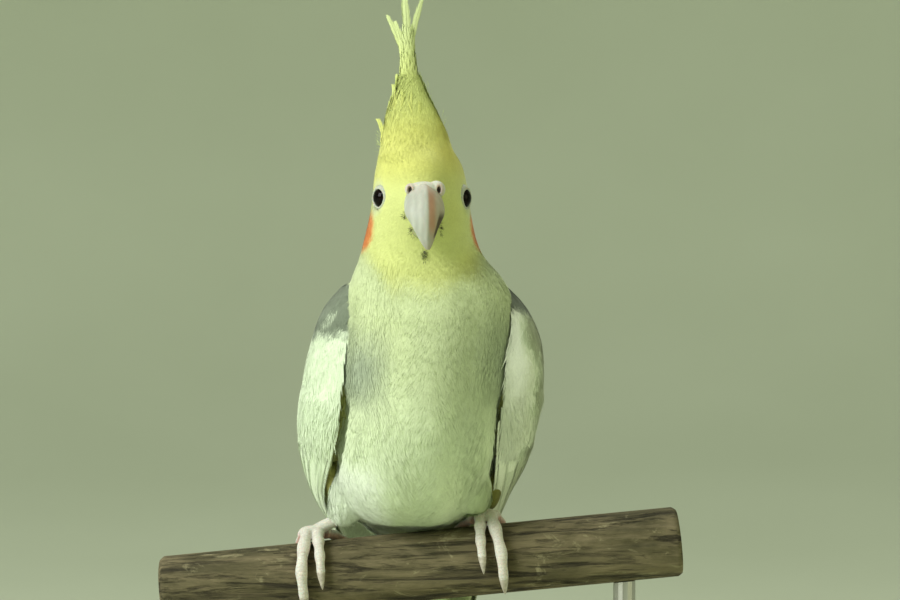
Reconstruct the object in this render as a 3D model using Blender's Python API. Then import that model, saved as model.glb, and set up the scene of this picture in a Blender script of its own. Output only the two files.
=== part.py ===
"""A life-size cockatiel perched upright with its crest raised, on a plain display stand.

The bird faces -Y, its left side is at +X and +Z is up. Sizes are in millimetres and become
metres where a mesh is made. Bird sizes are measured from the perch: x across, y back from the
perch's axis and z up from the perch's top. The origin of the model is the middle of the
underside of the stand's base.
"""

import math

import bmesh
import bpy
import numpy as np

MM = 0.001
GAP = 0.3
FLAT_ANGLE = math.radians(0.3)
SHARP_ANGLE = math.radians(38.0)

# Stand
BASE_SIZE = (176.0, 150.0, 12.0)
BASE_CORNER = 22.0
BASE_EDGE = 1.6
ROD_RADIUS = 3.6
ROD_FOOT_RADIUS = 9.0
ROD_FOOT_HEIGHT = 3.0
ROD_FOOT_EDGE = 0.7
ROD_SIDES = 14
ROD_SPREAD = 66.0
PERCH_Y = -27.0
PERCH_TOP = 171.0

# Perch
PERCH_RADIUS = 11.3
PERCH_HALF_LENGTH = 84.0
PERCH_RISE = math.radians(5.5)
PERCH_TOP_GAP = 0.35
PERCH_CHAMFER = 1.0
PERCH_SIDES = 20
PERCH_PARTS = 7
# Room between the perch and the belly over it.
PERCH_ROOM = 0.8

# Body, from the crown to the root of the tail. Each row is one section through the body:
# front y and z, back y and z, half width, x of its middle.
BODY_SECTIONS = np.array([
    (-17.0, 124.6, -9.0, 124.9, 3.6, -0.6),
    (-22.8, 122.2, -2.5, 122.8, 10.4, -0.6),
    (-27.2, 118.6, 1.4, 119.2, 13.3, -0.4),
    (-29.6, 114.0, 4.7, 113.6, 14.7, -0.1),
    (-30.6, 107.5, 7.0, 106.0, 15.5, 0.2),
    (-30.2, 101.2, 8.2, 98.5, 16.7, 0.2),
    (-28.8, 95.0, 9.0, 91.5, 18.4, 0.2),
    (-28.0, 89.0, 10.2, 85.4, 20.8, 0.8),
    (-29.4, 82.5, 12.4, 79.6, 24.2, 2.0),
    (-32.4, 75.0, 15.6, 74.0, 26.3, 2.4),
    (-35.8, 66.0, 19.2, 68.0, 27.6, 2.0),
    (-38.2, 55.5, 22.6, 60.6, 28.0, 1.5),
    (-38.9, 44.5, 26.0, 52.0, 27.8, 1.0),
    (-36.8, 32.5, 29.6, 42.0, 27.8, 0.0),
    (-31.8, 21.5, 33.2, 31.0, 27.4, -1.6),
    (-23.6, 11.4, 36.2, 20.0, 25.6, -2.8),
    (-11.5, 4.5, 38.6, 9.0, 22.0, -3.4),
    (2.0, 1.3, 40.0, 1.5, 17.6, -3.2),
    (13.5, -3.2, 41.8, -4.6, 13.6, -2.6),
    (19.0, -13.0, 43.8, -10.2, 11.6, -2.2),
    (21.8, -24.0, 46.0, -15.4, 11.0, -2.0),
])
BODY_SIDES = 26
BODY_RINGS = 28
HEAD_YAW = math.radians(5.0)
YAW_FULL_TO = 6.0
YAW_NONE_FROM = 10.0
HEAD_PIVOT_Y = -11.0
FACE_NARROWING = 0.24
FACE_TO = 5.0
FACE_FROM = 9.0

# Cuts between the parts of the body: a point on the cut in y and z, and its slope from front
# to back.
CROWN_CUT = (-14.0, 119.2, 0.02)
HEAD_CUT = (-10.0, 90.6, -0.02)
NECK_CUT = (-8.0, 79.6, 0.02)

# Head features, from the point midway between the eyes: right, forward and up.
EYE_MIDDLE = (0.2, -16.0, 107.4)
EYE_RADIUS = 3.7
EYE_OFFSET = (11.9, 0.0, 0.0)
LID_RADIUS = 3.1
LID_THICKNESS = 0.62
LID_OUT = 2.75
LID_SIDES = 14
LID_SECTION = 5
EYE_FACING = math.radians(61.0)

# Bill sections: inner forward and up, outer forward and up, half width.
UPPER_BILL = np.array([
    (8.0, -4.5, 12.5, 4.6, 5.4),
    (11.0, -6.4, 16.4, 3.4, 5.9),
    (13.8, -7.8, 19.8, 1.2, 6.1),
    (16.3, -8.6, 22.4, -2.2, 5.8),
    (18.2, -9.6, 24.0, -6.2, 4.8),
    (19.4, -11.4, 24.2, -10.0, 3.6),
    (20.2, -13.4, 23.6, -13.3, 2.5),
    (20.9, -15.4, 22.7, -15.6, 1.5),
    (21.5, -16.9, 21.9, -17.0, 0.6),
])
BILL_NARROWING = 0.22
LOWER_BILL = np.array([
    (7.5, -11.2, 8.5, -6.0, 3.6),
    (11.5, -13.0, 12.5, -8.1, 3.5),
    (15.0, -13.6, 16.0, -9.6, 2.8),
    (17.2, -13.0, 17.8, -10.9, 1.7),
    (18.2, -12.3, 18.4, -11.8, 0.7),
])
NOSTRIL = (4.3, 13.2, 2.3)
NOSTRIL_SIZE = (2.0, 2.8, 2.3)
NOSTRIL_HOLE = 0.6
# Inner and outer end of the nostril hole: right, forward and up.
NOSTRIL_LINE = ((4.6, 14.6, 2.4), (6.6, 18.4, 2.8))
CERE_BRIDGE = (0.0, 13.6, 3.3)
CERE_BRIDGE_SIZE = (5.0, 2.8, 2.1)

# Wings: sections of the outer surface from the shoulder to the wing tip. Each row is front y
# and z, back y and z, angle of the back edge round the section in degrees, and thickness.
WING_SECTIONS = np.array([
    (-22.0, 80.5, 16.0, 81.0, 36.0, 7.0),
    (-29.0, 70.5, 21.0, 74.0, 45.0, 10.5),
    (-32.0, 58.0, 25.4, 65.0, 55.0, 11.0),
    (-31.5, 44.0, 29.6, 54.0, 64.0, 9.5),
    (-26.0, 30.0, 34.0, 42.0, 71.0, 8.0),
    (-15.0, 17.5, 38.7, 29.5, 76.0, 6.5),
    (0.0, 5.0, 43.4, 16.0, 79.0, 5.0),
    (16.0, -9.0, 48.4, 2.0, 80.0, 4.0),
    (29.5, -26.0, 54.4, -14.0, 80.0, 3.2),
    (44.5, -48.0, 63.6, -38.0, 78.0, 2.4),
    (58.5, -69.0, 71.0, -61.0, 72.0, 1.2),
])
WING_REACH = {
    "right": np.array([25.0, 32.0, 36.0, 38.9, 40.6, 40.4, 37.0, 30.0, 23.5, 17.5, 12.5]),
    "left": np.array([27.0, 34.8, 39.4, 40.3, 38.6, 36.0, 30.0, 24.8, 20.5, 16.0, 11.5]),
}
# Angle of each wing's front edge round its section.
WING_FRONT = {
    "right": np.array([-50, -50, -51, -52, -49, -41, -29, -22, -18, -12, 0.0]),
    "left": np.array([-24, -32, -44, -48, -47, -44, -36, -26, -18, -12, 0.0]),
}
WING_SIDES = 6

# Tiers of wing feathers: start and end along the wing, spread of the tips, number, depth of
# the root under the surface, depth of the tip and how much sooner each ends than the one in
# front of it.
WING_TIERS = (
    (0.5, 2.3, 0.98, 5, 3.6, -0.2, 0.0),
    (1.4, 3.4, 0.97, 6, 3.6, -0.2, 0.0),
    (2.3, 4.6, 0.96, 6, 3.6, -0.1, 0.0),
    (3.4, 6.2, 0.95, 6, 3.6, 0.0, 0.0),
    (4.8, 7.7, 0.92, 6, 3.4, 0.0, -0.12),
    (6.4, 10.0, 0.84, 6, 3.0, 0.0, 0.27),
)
VANE_STEPS = (0.0, 0.4, 0.78, 1.0)
VANE_CLEARANCE = 0.95
VANE_OVERLAP = 0.7
VANE_THICKNESS = 0.5
VANE_ROOT = 0.6
WING_VANE_TIP = 0.22
VANE_END_VARY = 0.10
WING_CORE_DEPTH = 2.2
WING_CORE_THINNEST = 0.6
WING_CORE_END = 8.6
WING_CORE_RINGS = 10
WING_SEED = 5

# Tail
TAIL_SLOPE = math.radians(66.0)
TAIL_CORE = ((14.0, 10.6, 9.6, 0.4), (28.0, 8.6, 5.4, 1.2), (40.0, 6.0, 2.2, 3.2))
TAIL_LENGTHS = (140.0, 126.0, 112.0, 98.0, 86.0, 74.0)
TAIL_PAIR_OFFSET = 1.4
TAIL_PAIR_STEP = 1.25
TAIL_LAYER = 0.82
TAIL_TOP_LAYER = 2.2
TAIL_SPREAD = 0.012
TAIL_HALF_WIDTH = 4.9
TAIL_VANE_TAPER = (0.10, 0.3)
TAIL_COVERTS = 4
TAIL_COVERT_STEP = 3.9
TAIL_COVERT_UNDER = 0.85
# Tail coverts: where they start, length, how much shorter the outer ones are, depth under the
# tail's upper side, how far the tip rises and half width.
UPPER_COVERT = (3.0, 46.0, 8.0, 2.2, 2.2, 3.2)
UNDER_COVERT = (5.0, 54.0, 9.0, 13.4, -0.6, 3.3)
TAIL_DROOP = 0.02
X_AXIS = np.array((1.0, 0.0, 0.0))

# Crest: sections of the bunch of feathers, as z, x and y of its middle, half width and half
# depth.
CREST_SECTIONS = np.array([
    (116.0, -0.8, -13.0, 8.4, 8.4),
    (122.5, -1.4, -13.2, 12.2, 10.6),
    (129.0, -2.0, -12.6, 10.6, 9.2),
    (135.0, -2.8, -11.4, 8.4, 7.6),
    (140.5, -3.0, -9.8, 5.6, 5.6),
    (146.0, -3.7, -7.8, 3.8, 4.2),
    (152.5, -4.1, -4.8, 3.2, 3.4),
    (160.0, -4.3, -1.4, 2.6, 2.6),
    (168.0, -4.6, 2.6, 2.4, 2.2),
    (176.0, -4.9, 7.0, 2.2, 2.0),
])
# Layers of the crest: number of feathers, first angle round the bunch, height of the tips,
# how much that varies, share of the bunch's half width, half width of a feather, outward tip.
CREST_LAYERS = (
    (8, 12.0, 133.0, 2.0, 0.97, 3.9, 0.6),
    (6, 38.0, 145.0, 3.0, 0.80, 3.4, 0.4),
    (3, 20.0, 157.0, 2.5, 0.62, 2.0, 0.2),
)
# The long feathers: x and z of the tip, and angle round the bunch.
CREST_LONG = (
    (-4.9, 175.0, 100.0),
    (-11.6, 166.0, 190.0),
    (-9.2, 163.6, 225.0),
    (-7.4, 167.5, 160.0),
    (0.9, 171.0, 20.0),
    (-1.4, 167.5, 330.0),
    (-3.6, 164.5, 270.0),
)
CREST_LONG_SHARE = 0.42
CREST_LONG_WIDTH = 2.0
CREST_BEND_FROM = 0.6
CREST_VANE_TAPER = (0.8, 0.10, 0.35)
CREST_VARY = 6.0
CREST_ROOT = 117.0
CREST_OVERLAP = 0.3
CREST_SEED = 3
CREST_STEPS = (0.0, 0.33, 0.66, 1.0)

# Legs, named for the bird's own sides: hip, bend and hem of the feathered leg, and the foot's
# place along the perch.
LEGS = {
    "right": {
        "hip": (-16.0, -3.0, 27.0),
        "bend": (-22.5, 0.5, 13.5),
        "hem": (-26.6, 2.2, 4.2),
        "foot": -34.4,
    },
    "left": {
        "hip": (11.5, -4.0, 27.0),
        "bend": (15.6, -4.0, 15.8),
        "hem": (18.8, 0.2, 8.2),
        "foot": 22.8,
    },
}
LEG_RADII = (10.5, 8.0, 5.0)
LEG_STEPS = [2 * k / 8 for k in range(9)]
LEG_SIDES = 14
TARSUS_RADIUS = 2.0
PALM_RADIUS = 2.5

# Toes: start and end along the perch from the middle of the foot towards the bird's outer
# side, start and end angle over the perch, radius at the root and at the claw, claw length.
TOES = {
    "outer_front": (1.2, 3.4, 4.0, 112.0, 2.1, 1.65, 6.5),
    "inner_front": (-2.2, -2.8, 6.0, 80.0, 1.95, 1.45, 5.2),
    "outer_back": (2.6, 6.0, -8.0, -108.0, 1.9, 1.5, 6.0),
    "inner_back": (-4.2, -10.0, -10.0, -62.0, 1.75, 1.35, 4.8),
}
TOE_RINGS = 8
TOE_SIDES = 7
TOE_CLEARANCE = 1.12
KNUCKLES = 3
KNUCKLE_SWELL = 0.10
# Each toe has spread sideways in full by this share of its length.
TOE_SPREAD_BY = 2 / 3
PALM_SIZE = (4.4, 3.2)
SHANK_TAPER = (1.05, 1.0, 0.95)
SHANK_COLLAR = 0.8
CLAW_CURL = 0.22
CLAW_STEPS = (0.0, 0.3, 0.6, 0.85, 1.0)
CLAW_TAPER = (0.92, 0.66, 0.42, 0.22, 0.08)


# Materials

def material(name, colour, roughness):
    made = bpy.data.materials.new(name)
    made.use_nodes = True
    shader = made.node_tree.nodes["Principled BSDF"]
    shader.inputs["Base Color"].default_value = (*colour, 1.0)
    shader.inputs["Roughness"].default_value = roughness
    shader.inputs["Metallic"].default_value = 0.0
    return made


MATERIALS = {
    name: material(name, colour, roughness)
    for name, colour, roughness in (
        ("face_feathers", (0.78, 0.80, 0.26), 0.8),
        ("crest_feathers", (0.72, 0.76, 0.25), 0.8),
        ("body_feathers", (0.72, 0.82, 0.46), 0.8),
        ("wing_feathers", (0.76, 0.88, 0.62), 0.7),
        ("tail_feathers", (0.70, 0.74, 0.42), 0.7),
        ("bill_horn", (0.66, 0.64, 0.56), 0.4),
        ("cere_skin", (0.62, 0.60, 0.50), 0.6),
        ("eye_dark", (0.01, 0.008, 0.007), 0.08),
        ("foot_skin", (0.66, 0.52, 0.46), 0.6),
        ("claw_horn", (0.62, 0.58, 0.50), 0.4),
        ("perch_wood", (0.16, 0.12, 0.06), 0.75),
        ("base_wood", (0.30, 0.19, 0.10), 0.5),
        ("rod_metal", (0.45, 0.44, 0.42), 0.35),
    )
}


# Mesh tools

def place(points):
    """Bird millimetres to model metres."""
    return (np.asarray(points, float) + (0.0, PERCH_Y, PERCH_TOP)) * MM


def solid(name, points, faces, slot):
    """A closed mesh object from points in bird millimetres, with its faces turned outwards."""
    mesh = bpy.data.meshes.new(name)
    mesh.from_pydata([tuple(p) for p in place(points)], [], faces)
    shape = bmesh.new()
    shape.from_mesh(mesh)
    bmesh.ops.recalc_face_normals(shape, faces=shape.faces)
    if shape.calc_volume(signed=True) < 0:
        bmesh.ops.reverse_faces(shape, faces=shape.faces)
    shape.to_mesh(mesh)
    shape.free()
    made = bpy.data.objects.new(name, mesh)
    made.data.materials.append(MATERIALS[slot])
    bpy.context.scene.collection.objects.link(made)
    return made


def loft(name, rings, slot):
    """Rings of equal count joined by triangles, with a fan over each end."""
    rings = [np.asarray(r, float) for r in rings]
    count = len(rings[0])
    points = [p for r in rings for p in r]
    faces = []
    for i in range(len(rings) - 1):
        for j in range(count):
            a, b = i * count + j, i * count + (j + 1) % count
            faces += [(a, b, b + count), (a, b + count, a + count)]
    for first, ring in ((0, rings[0]), ((len(rings) - 1) * count, rings[-1])):
        middle = len(points)
        points.append(ring.mean(0))
        faces += [(middle, first + j, first + (j + 1) % count) for j in range(count)]
    return solid(name, points, faces, slot)


def smooth(rows, t):
    """The row at t, a number from 0 to the last row's, on a smooth curve through all rows."""
    last = len(rows) - 1
    i = min(int(t), last - 1)
    f = t - i
    before = rows[i - 1] if i > 0 else 2 * rows[0] - rows[1]
    after = rows[i + 2] if i + 2 <= last else 2 * rows[last] - rows[last - 1]
    a, b = rows[i], rows[i + 1]
    return 0.5 * (
        2 * a
        + (b - before) * f
        + (2 * before - 5 * a + 4 * b - after) * f * f
        + (3 * a - before - 3 * b + after) * f**3
    )


def unit(v):
    v = np.asarray(v, float)
    return v / np.linalg.norm(v, axis=-1, keepdims=True)


def tube(name, path, radii, slot, sides=8):
    """A round bar along a path."""
    path = np.asarray(path, float)
    tangents = unit(np.gradient(path, axis=0))
    across = unit(np.cross(tangents[0], (0.13, 0.2, 0.97)))
    rings = []
    for point, tangent, radius in zip(path, tangents, radii):
        across = unit(across - tangent * (across @ tangent))
        over = np.cross(tangent, across)
        angles = [2 * math.pi * k / sides for k in range(sides)]
        rings.append([
            point + radius * (math.cos(a) * across + math.sin(a) * over) for a in angles
        ])
    return loft(name, rings, slot)


def vane(path, across, widths, thickness, slot):
    """A flat feather: its middle line, its direction across, half widths and thickness. Both
    faces are split into triangles alike."""
    path = np.asarray(path, float)
    tangents = unit(np.gradient(path, axis=0))
    rings = []
    for point, tangent, side, width in zip(path, tangents, across, widths):
        side = unit(side - tangent * (side @ tangent))
        over = np.cross(tangent, side) * min(thickness, 0.12 + width) / 2
        rings.append([
            point - side * width + over,
            point + side * width + over,
            point + side * width - over,
            point - side * width - over,
        ])
    points = [p for r in rings for p in r]
    faces = [(0, 1, 2), (0, 2, 3)]
    for i in range(len(rings) - 1):
        a, b = 4 * i, 4 * i + 4
        faces += [(a, a + 1, b + 1), (a, b + 1, b)]
        faces += [(a + 1, a + 2, b + 2), (a + 1, b + 2, b + 1)]
        faces += [(a + 2, a + 3, b + 2), (a + 3, b + 3, b + 2)]
        faces += [(a + 3, a, b), (a + 3, b, b + 3)]
    end = len(points) - 4
    faces += [(end, end + 2, end + 1), (end, end + 3, end + 2)]
    return solid("vane", points, faces, slot)


def taper(steps, full, root, tip, crown=0.45):
    """Half widths along a feather: from the root's share, to full at the crown, to the tip's."""
    made = []
    for s in steps:
        if s < crown:
            share = root + (1 - root) * math.sin(math.pi / 2 * s / crown)
        else:
            share = tip + (1 - tip) * math.cos(math.pi / 2 * (s - crown) / (1 - crown)) ** 0.7
        made.append(full * share)
    return made


def ball(name, centre, size, slot, across=14, rings=9):
    """An ellipsoid with its own frame's axes along x, y and z."""
    levels = [math.pi * (k + 0.35) / (rings - 0.3) for k in range(rings)]
    made = [
        [
            (
                centre[0] + size[0] * math.sin(v) * math.cos(2 * math.pi * k / across),
                centre[1] + size[1] * math.sin(v) * math.sin(2 * math.pi * k / across),
                centre[2] + size[2] * math.cos(v),
            )
            for k in range(across)
        ]
        for v in levels
    ]
    return loft(name, made, slot)


def apply_modifiers(obj):
    graph = bpy.context.evaluated_depsgraph_get()
    mesh = bpy.data.meshes.new_from_object(obj.evaluated_get(graph))
    obj.modifiers.clear()
    obj.data = mesh


def remove(*objects):
    for obj in objects:
        bpy.data.objects.remove(obj)


def keep_largest(obj):
    """Drops loose scraps and the walls of sealed hollows."""
    shape = bmesh.new()
    shape.from_mesh(obj.data)
    shape.faces.ensure_lookup_table()
    seen, bodies = set(), []
    for face in shape.faces:
        if face in seen:
            continue
        body, stack = [], [face]
        seen.add(face)
        while stack:
            f = stack.pop()
            body.append(f)
            for edge in f.edges:
                for other in edge.link_faces:
                    if other not in seen:
                        seen.add(other)
                        stack.append(other)
        bodies.append(body)

    def reach(body):
        points = np.array([v.co for f in body for v in f.verts])
        return float(np.ptp(points, axis=0).prod())

    bodies.sort(key=reach, reverse=True)
    for body in bodies[1:]:
        bmesh.ops.delete(shape, geom=body, context="FACES")
    shape.to_mesh(obj.data)
    shape.free()


def simplify(obj):
    """Merges faces that lie in one plane, where the mesh stays closed."""
    shape = bmesh.new()
    shape.from_mesh(obj.data)
    bmesh.ops.dissolve_limit(
        shape, angle_limit=FLAT_ANGLE, verts=shape.verts[:], edges=shape.edges[:]
    )
    bmesh.ops.triangulate(shape, faces=shape.faces[:])
    if all(len(edge.link_faces) == 2 for edge in shape.edges):
        shape.to_mesh(obj.data)
    shape.free()


def shade(obj):
    """Smooth shading, with edges left sharp where faces meet at a steep angle."""
    obj.data.shade_smooth()
    obj.data.set_sharp_from_angle(angle=SHARP_ANGLE)


def boolean(obj, others, operation, solver="EXACT"):
    """Joins the others to obj, or cuts obj by them, and removes them."""
    group = bpy.data.collections.new("operands")
    for other in others:
        group.objects.link(other)
    step = obj.modifiers.new("boolean", "BOOLEAN")
    step.operation = operation
    step.operand_type = "COLLECTION"
    step.collection = group
    step.solver = solver
    apply_modifiers(obj)
    remove(*others)
    bpy.data.collections.remove(group)
    keep_largest(obj)
    return obj


def slab(name, source, cuts):
    """A copy of source, cut by planes. Each cut is a point in bird millimetres and a normal
    that points to the side that stays."""
    made = source.copy()
    made.data = source.data.copy()
    made.name = name
    bpy.context.scene.collection.objects.link(made)
    shape = bmesh.new()
    shape.from_mesh(made.data)
    for point, normal in cuts:
        where = place([point])[0] + unit(normal) * GAP / 2 * MM
        done = bmesh.ops.bisect_plane(
            shape,
            geom=shape.verts[:] + shape.edges[:] + shape.faces[:],
            plane_co=where,
            plane_no=normal,
            clear_inner=True,
        )
        rim = [e for e in done["geom_cut"] if isinstance(e, bmesh.types.BMEdge)]
        filled = bmesh.ops.contextual_create(shape, geom=rim)
        bmesh.ops.triangulate(shape, faces=filled["faces"])
    bmesh.ops.recalc_face_normals(shape, faces=shape.faces)
    shape.to_mesh(made.data)
    shape.free()
    return made


# Body

def fade(t, full_to, none_from):
    """1 up to full_to, easing to 0 at none_from."""
    share = min(1.0, max(0.0, (none_from - t) / (none_from - full_to)))
    return share * share * (3 - 2 * share)


def yaw_at(t):
    return HEAD_YAW * fade(t, YAW_FULL_TO, YAW_NONE_FROM)


def turned(points, yaw):
    """Turns points about the head's upright axis, towards the bird's left."""
    points = np.asarray(points, float)
    y = points[..., 1] - HEAD_PIVOT_Y
    x = points[..., 0]
    made = points.copy()
    made[..., 0] = x * math.cos(yaw) - y * math.sin(yaw)
    made[..., 1] = x * math.sin(yaw) + y * math.cos(yaw) + HEAD_PIVOT_Y
    return made


def body_ring(t, grow=0.0):
    front_y, front_z, back_y, back_z, half_width, middle_x = smooth(BODY_SECTIONS, t)
    middle = np.array([(front_y + back_y) / 2, (front_z + back_z) / 2])
    half = np.array([(back_y - front_y) / 2, (back_z - front_z) / 2])
    half = half * (1 + grow / np.linalg.norm(half))
    narrowing = FACE_NARROWING * fade(t, FACE_TO, FACE_FROM)
    ring = []
    for k in range(BODY_SIDES):
        angle = 2 * math.pi * k / BODY_SIDES
        side = (half_width + grow) * math.cos(angle) * (1 + narrowing * math.sin(angle))
        y, z = middle + half * math.sin(angle)
        ring.append((middle_x + side, y, z))
    return turned(ring, yaw_at(t))


def body(name, grow=0.0, start=0.0, end=None):
    end = len(BODY_SECTIONS) - 1 if end is None else end
    steps = [start + (end - start) * k / BODY_RINGS for k in range(BODY_RINGS + 1)]
    return loft(name, [body_ring(t, grow) for t in steps], "body_feathers")


def head_point(right, forward, up):
    """A point in the head's own frame, turned with the head."""
    raw = (EYE_MIDDLE[0] + right, EYE_MIDDLE[1] - forward, EYE_MIDDLE[2] + up)
    return turned(np.array(raw), HEAD_YAW)


def bill_ring(row, sides, grow):
    inner_forward, inner_up, outer_forward, outer_up, half_width = row
    middle = np.array([(inner_forward + outer_forward) / 2, (inner_up + outer_up) / 2])
    half = np.array([(outer_forward - inner_forward) / 2, (outer_up - inner_up) / 2])
    half = half * (1 + grow / np.linalg.norm(half))
    ring = []
    for k in range(sides):
        angle = 2 * math.pi * k / sides
        narrowing = 1 - BILL_NARROWING * math.sin(angle)
        forward, up = middle + half * math.sin(angle)
        ring.append(head_point((half_width + grow) * math.cos(angle) * narrowing, forward, up))
    return ring


def bill_piece(name, sections, rings, sides=14, grow=0.0):
    last = len(sections) - 1
    steps = [last * k / rings for k in range(rings + 1)]
    made = [bill_ring(smooth(sections, t), sides, grow) for t in steps]
    if grow:
        inward = unit(np.mean(made[0], axis=0) - np.mean(made[1], axis=0))
        made[0] = [p + inward * grow for p in made[0]]
    return loft(name, made, "bill_horn")


def upper_bill(name="bill_upper", grow=0.0):
    return bill_piece(name, UPPER_BILL, 10, sides=12, grow=grow)


def lower_bill(name="bill_lower", grow=0.0):
    return bill_piece(name, LOWER_BILL, 6, sides=10, grow=grow)


def cere(name="cere", grow=0.0):
    """The bare skin over the bill, with a swelling round each nostril."""
    bridge = [s + grow for s in CERE_BRIDGE_SIZE]
    swelling = [s + grow for s in NOSTRIL_SIZE]
    made = ball(name, head_point(*CERE_BRIDGE), bridge, "cere_skin", 10, 6)
    lobes = [
        ball("lobe", head_point(side * NOSTRIL[0], *NOSTRIL[1:]), swelling, "cere_skin", 10, 6)
        for side in (-1, 1)
    ]
    boolean(made, lobes, "UNION")
    if not grow:
        holes = []
        for side in (-1, 1):
            ends = [head_point(side * x, forward, up) for x, forward, up in NOSTRIL_LINE]
            holes.append(tube("hole", ends, [NOSTRIL_HOLE] * 2, "cere_skin", 6))
        boolean(made, holes, "DIFFERENCE")
    return made


def eye_centre(side):
    return head_point(side * EYE_OFFSET[0], EYE_OFFSET[1], EYE_OFFSET[2])


def eye(name, side, grow=0.0):
    radius = EYE_RADIUS + grow
    return ball(name, eye_centre(side), (radius, radius, radius), "eye_dark", 12, 8)


def lid(side):
    """The raised rim of the eyelids, a ring round the part of the eye that shows."""
    turn = side * EYE_FACING + HEAD_YAW
    facing = np.array((math.sin(turn), -math.cos(turn), 0.0))
    across = np.array((math.cos(turn), math.sin(turn), 0.0))
    centre = eye_centre(side) + facing * LID_OUT
    points, faces = [], []
    for i in range(LID_SIDES):
        a = 2 * math.pi * i / LID_SIDES
        outward = math.cos(a) * across + math.sin(a) * np.array((0.0, 0.0, 1.0))
        for j in range(LID_SECTION):
            b = 2 * math.pi * j / LID_SECTION
            offset = outward * math.cos(b) + facing * math.sin(b)
            points.append(centre + outward * LID_RADIUS + offset * LID_THICKNESS)
    for i in range(LID_SIDES):
        for j in range(LID_SECTION):
            after = (j + 1) % LID_SECTION
            this, following = i * LID_SECTION, (i + 1) % LID_SIDES * LID_SECTION
            faces.append((this + j, this + after, following + after, following + j))
    return solid("lid", points, faces, "face_feathers")


# Perch and stand

PERCH_ALONG = np.array((math.cos(PERCH_RISE), 0.0, math.sin(PERCH_RISE)))
PERCH_UP = np.array((-math.sin(PERCH_RISE), 0.0, math.cos(PERCH_RISE)))
PERCH_FRONT = np.array((0.0, -1.0, 0.0))
PERCH_MIDDLE = np.array((0.0, 0.0, -PERCH_RADIUS / math.cos(PERCH_RISE)))


def perch_point(along, degrees, radius):
    """A point round the perch: 0 degrees is its top and 90 its front."""
    a = math.radians(degrees)
    out = math.cos(a) * PERCH_UP + math.sin(a) * PERCH_FRONT
    return PERCH_MIDDLE + along * PERCH_ALONG + radius * out


def perch(name="perch", grow=0.0):
    half = PERCH_HALF_LENGTH + grow
    straight = half - PERCH_CHAMFER
    stations = [(-half, PERCH_RADIUS - PERCH_CHAMFER)]
    for k in range(PERCH_PARTS + 1):
        stations.append((straight * (2 * k / PERCH_PARTS - 1), PERCH_RADIUS))
    stations.append((half, PERCH_RADIUS - PERCH_CHAMFER))
    rings = [
        [perch_point(s, 360 * k / PERCH_SIDES, r + grow) for k in range(PERCH_SIDES)]
        for s, r in stations
    ]
    return loft(name, rings, "perch_wood")


def stand():
    """A flat base and two rods up to the perch."""
    width, depth, height = BASE_SIZE
    floor = -PERCH_TOP
    outline = []
    for cx, cy, first in ((1, 1, 0), (-1, 1, 90), (-1, -1, 180), (1, -1, 270)):
        for k in range(7):
            a = math.radians(first + 15 * k)
            outline.append((
                cx * (width / 2 - BASE_CORNER) + BASE_CORNER * math.cos(a),
                cy * (depth / 2 - BASE_CORNER) + BASE_CORNER * math.sin(a),
            ))
    outline = np.array(outline)
    rings = []
    for inset, z in (
        (BASE_EDGE * 0.4, 0.0),
        (0.0, BASE_EDGE * 0.4),
        (0.0, height - BASE_EDGE),
        (BASE_EDGE * 0.3, height - BASE_EDGE * 0.3),
        (BASE_EDGE, height),
    ):
        share = 1 - inset / (np.array((width, depth)) / 2)
        rings.append([(x, y - PERCH_Y, floor + z) for x, y in outline * share])
    loft("stand_base", rings, "base_wood")
    for side, word in ((-1, "right"), (1, "left")):
        x = side * ROD_SPREAD
        bottom = floor + height + GAP
        top = PERCH_MIDDLE[2] + x * math.tan(PERCH_RISE)
        profile = (
            (ROD_FOOT_RADIUS - ROD_FOOT_EDGE, bottom),
            (ROD_FOOT_RADIUS, bottom + ROD_FOOT_EDGE),
            (ROD_FOOT_RADIUS, bottom + ROD_FOOT_HEIGHT - ROD_FOOT_EDGE),
            (ROD_FOOT_RADIUS - ROD_FOOT_EDGE, bottom + ROD_FOOT_HEIGHT),
            (ROD_RADIUS, bottom + ROD_FOOT_HEIGHT + 0.2),
            (ROD_RADIUS, top),
        )
        rings = [
            [
                (
                    x + r * math.cos(2 * math.pi * k / ROD_SIDES),
                    r * math.sin(2 * math.pi * k / ROD_SIDES),
                    z,
                )
                for k in range(ROD_SIDES)
            ]
            for r, z in profile
        ]
        rod = loft("stand_rod_" + word, rings, "rod_metal")
        boolean(rod, [perch("cut", grow=GAP)], "DIFFERENCE")


# Legs and feet

def leg_path(side):
    leg = LEGS[side]
    rows = np.array([leg["hip"], leg["bend"], leg["hem"]])
    return np.array([smooth(rows, t) for t in LEG_STEPS])


def leg(side, grow=0.0, name=None):
    radii = [float(smooth(np.array(LEG_RADII), t)) + grow for t in LEG_STEPS]
    return tube(name or "leg_" + side, leg_path(side), radii, "body_feathers", LEG_SIDES)


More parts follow.
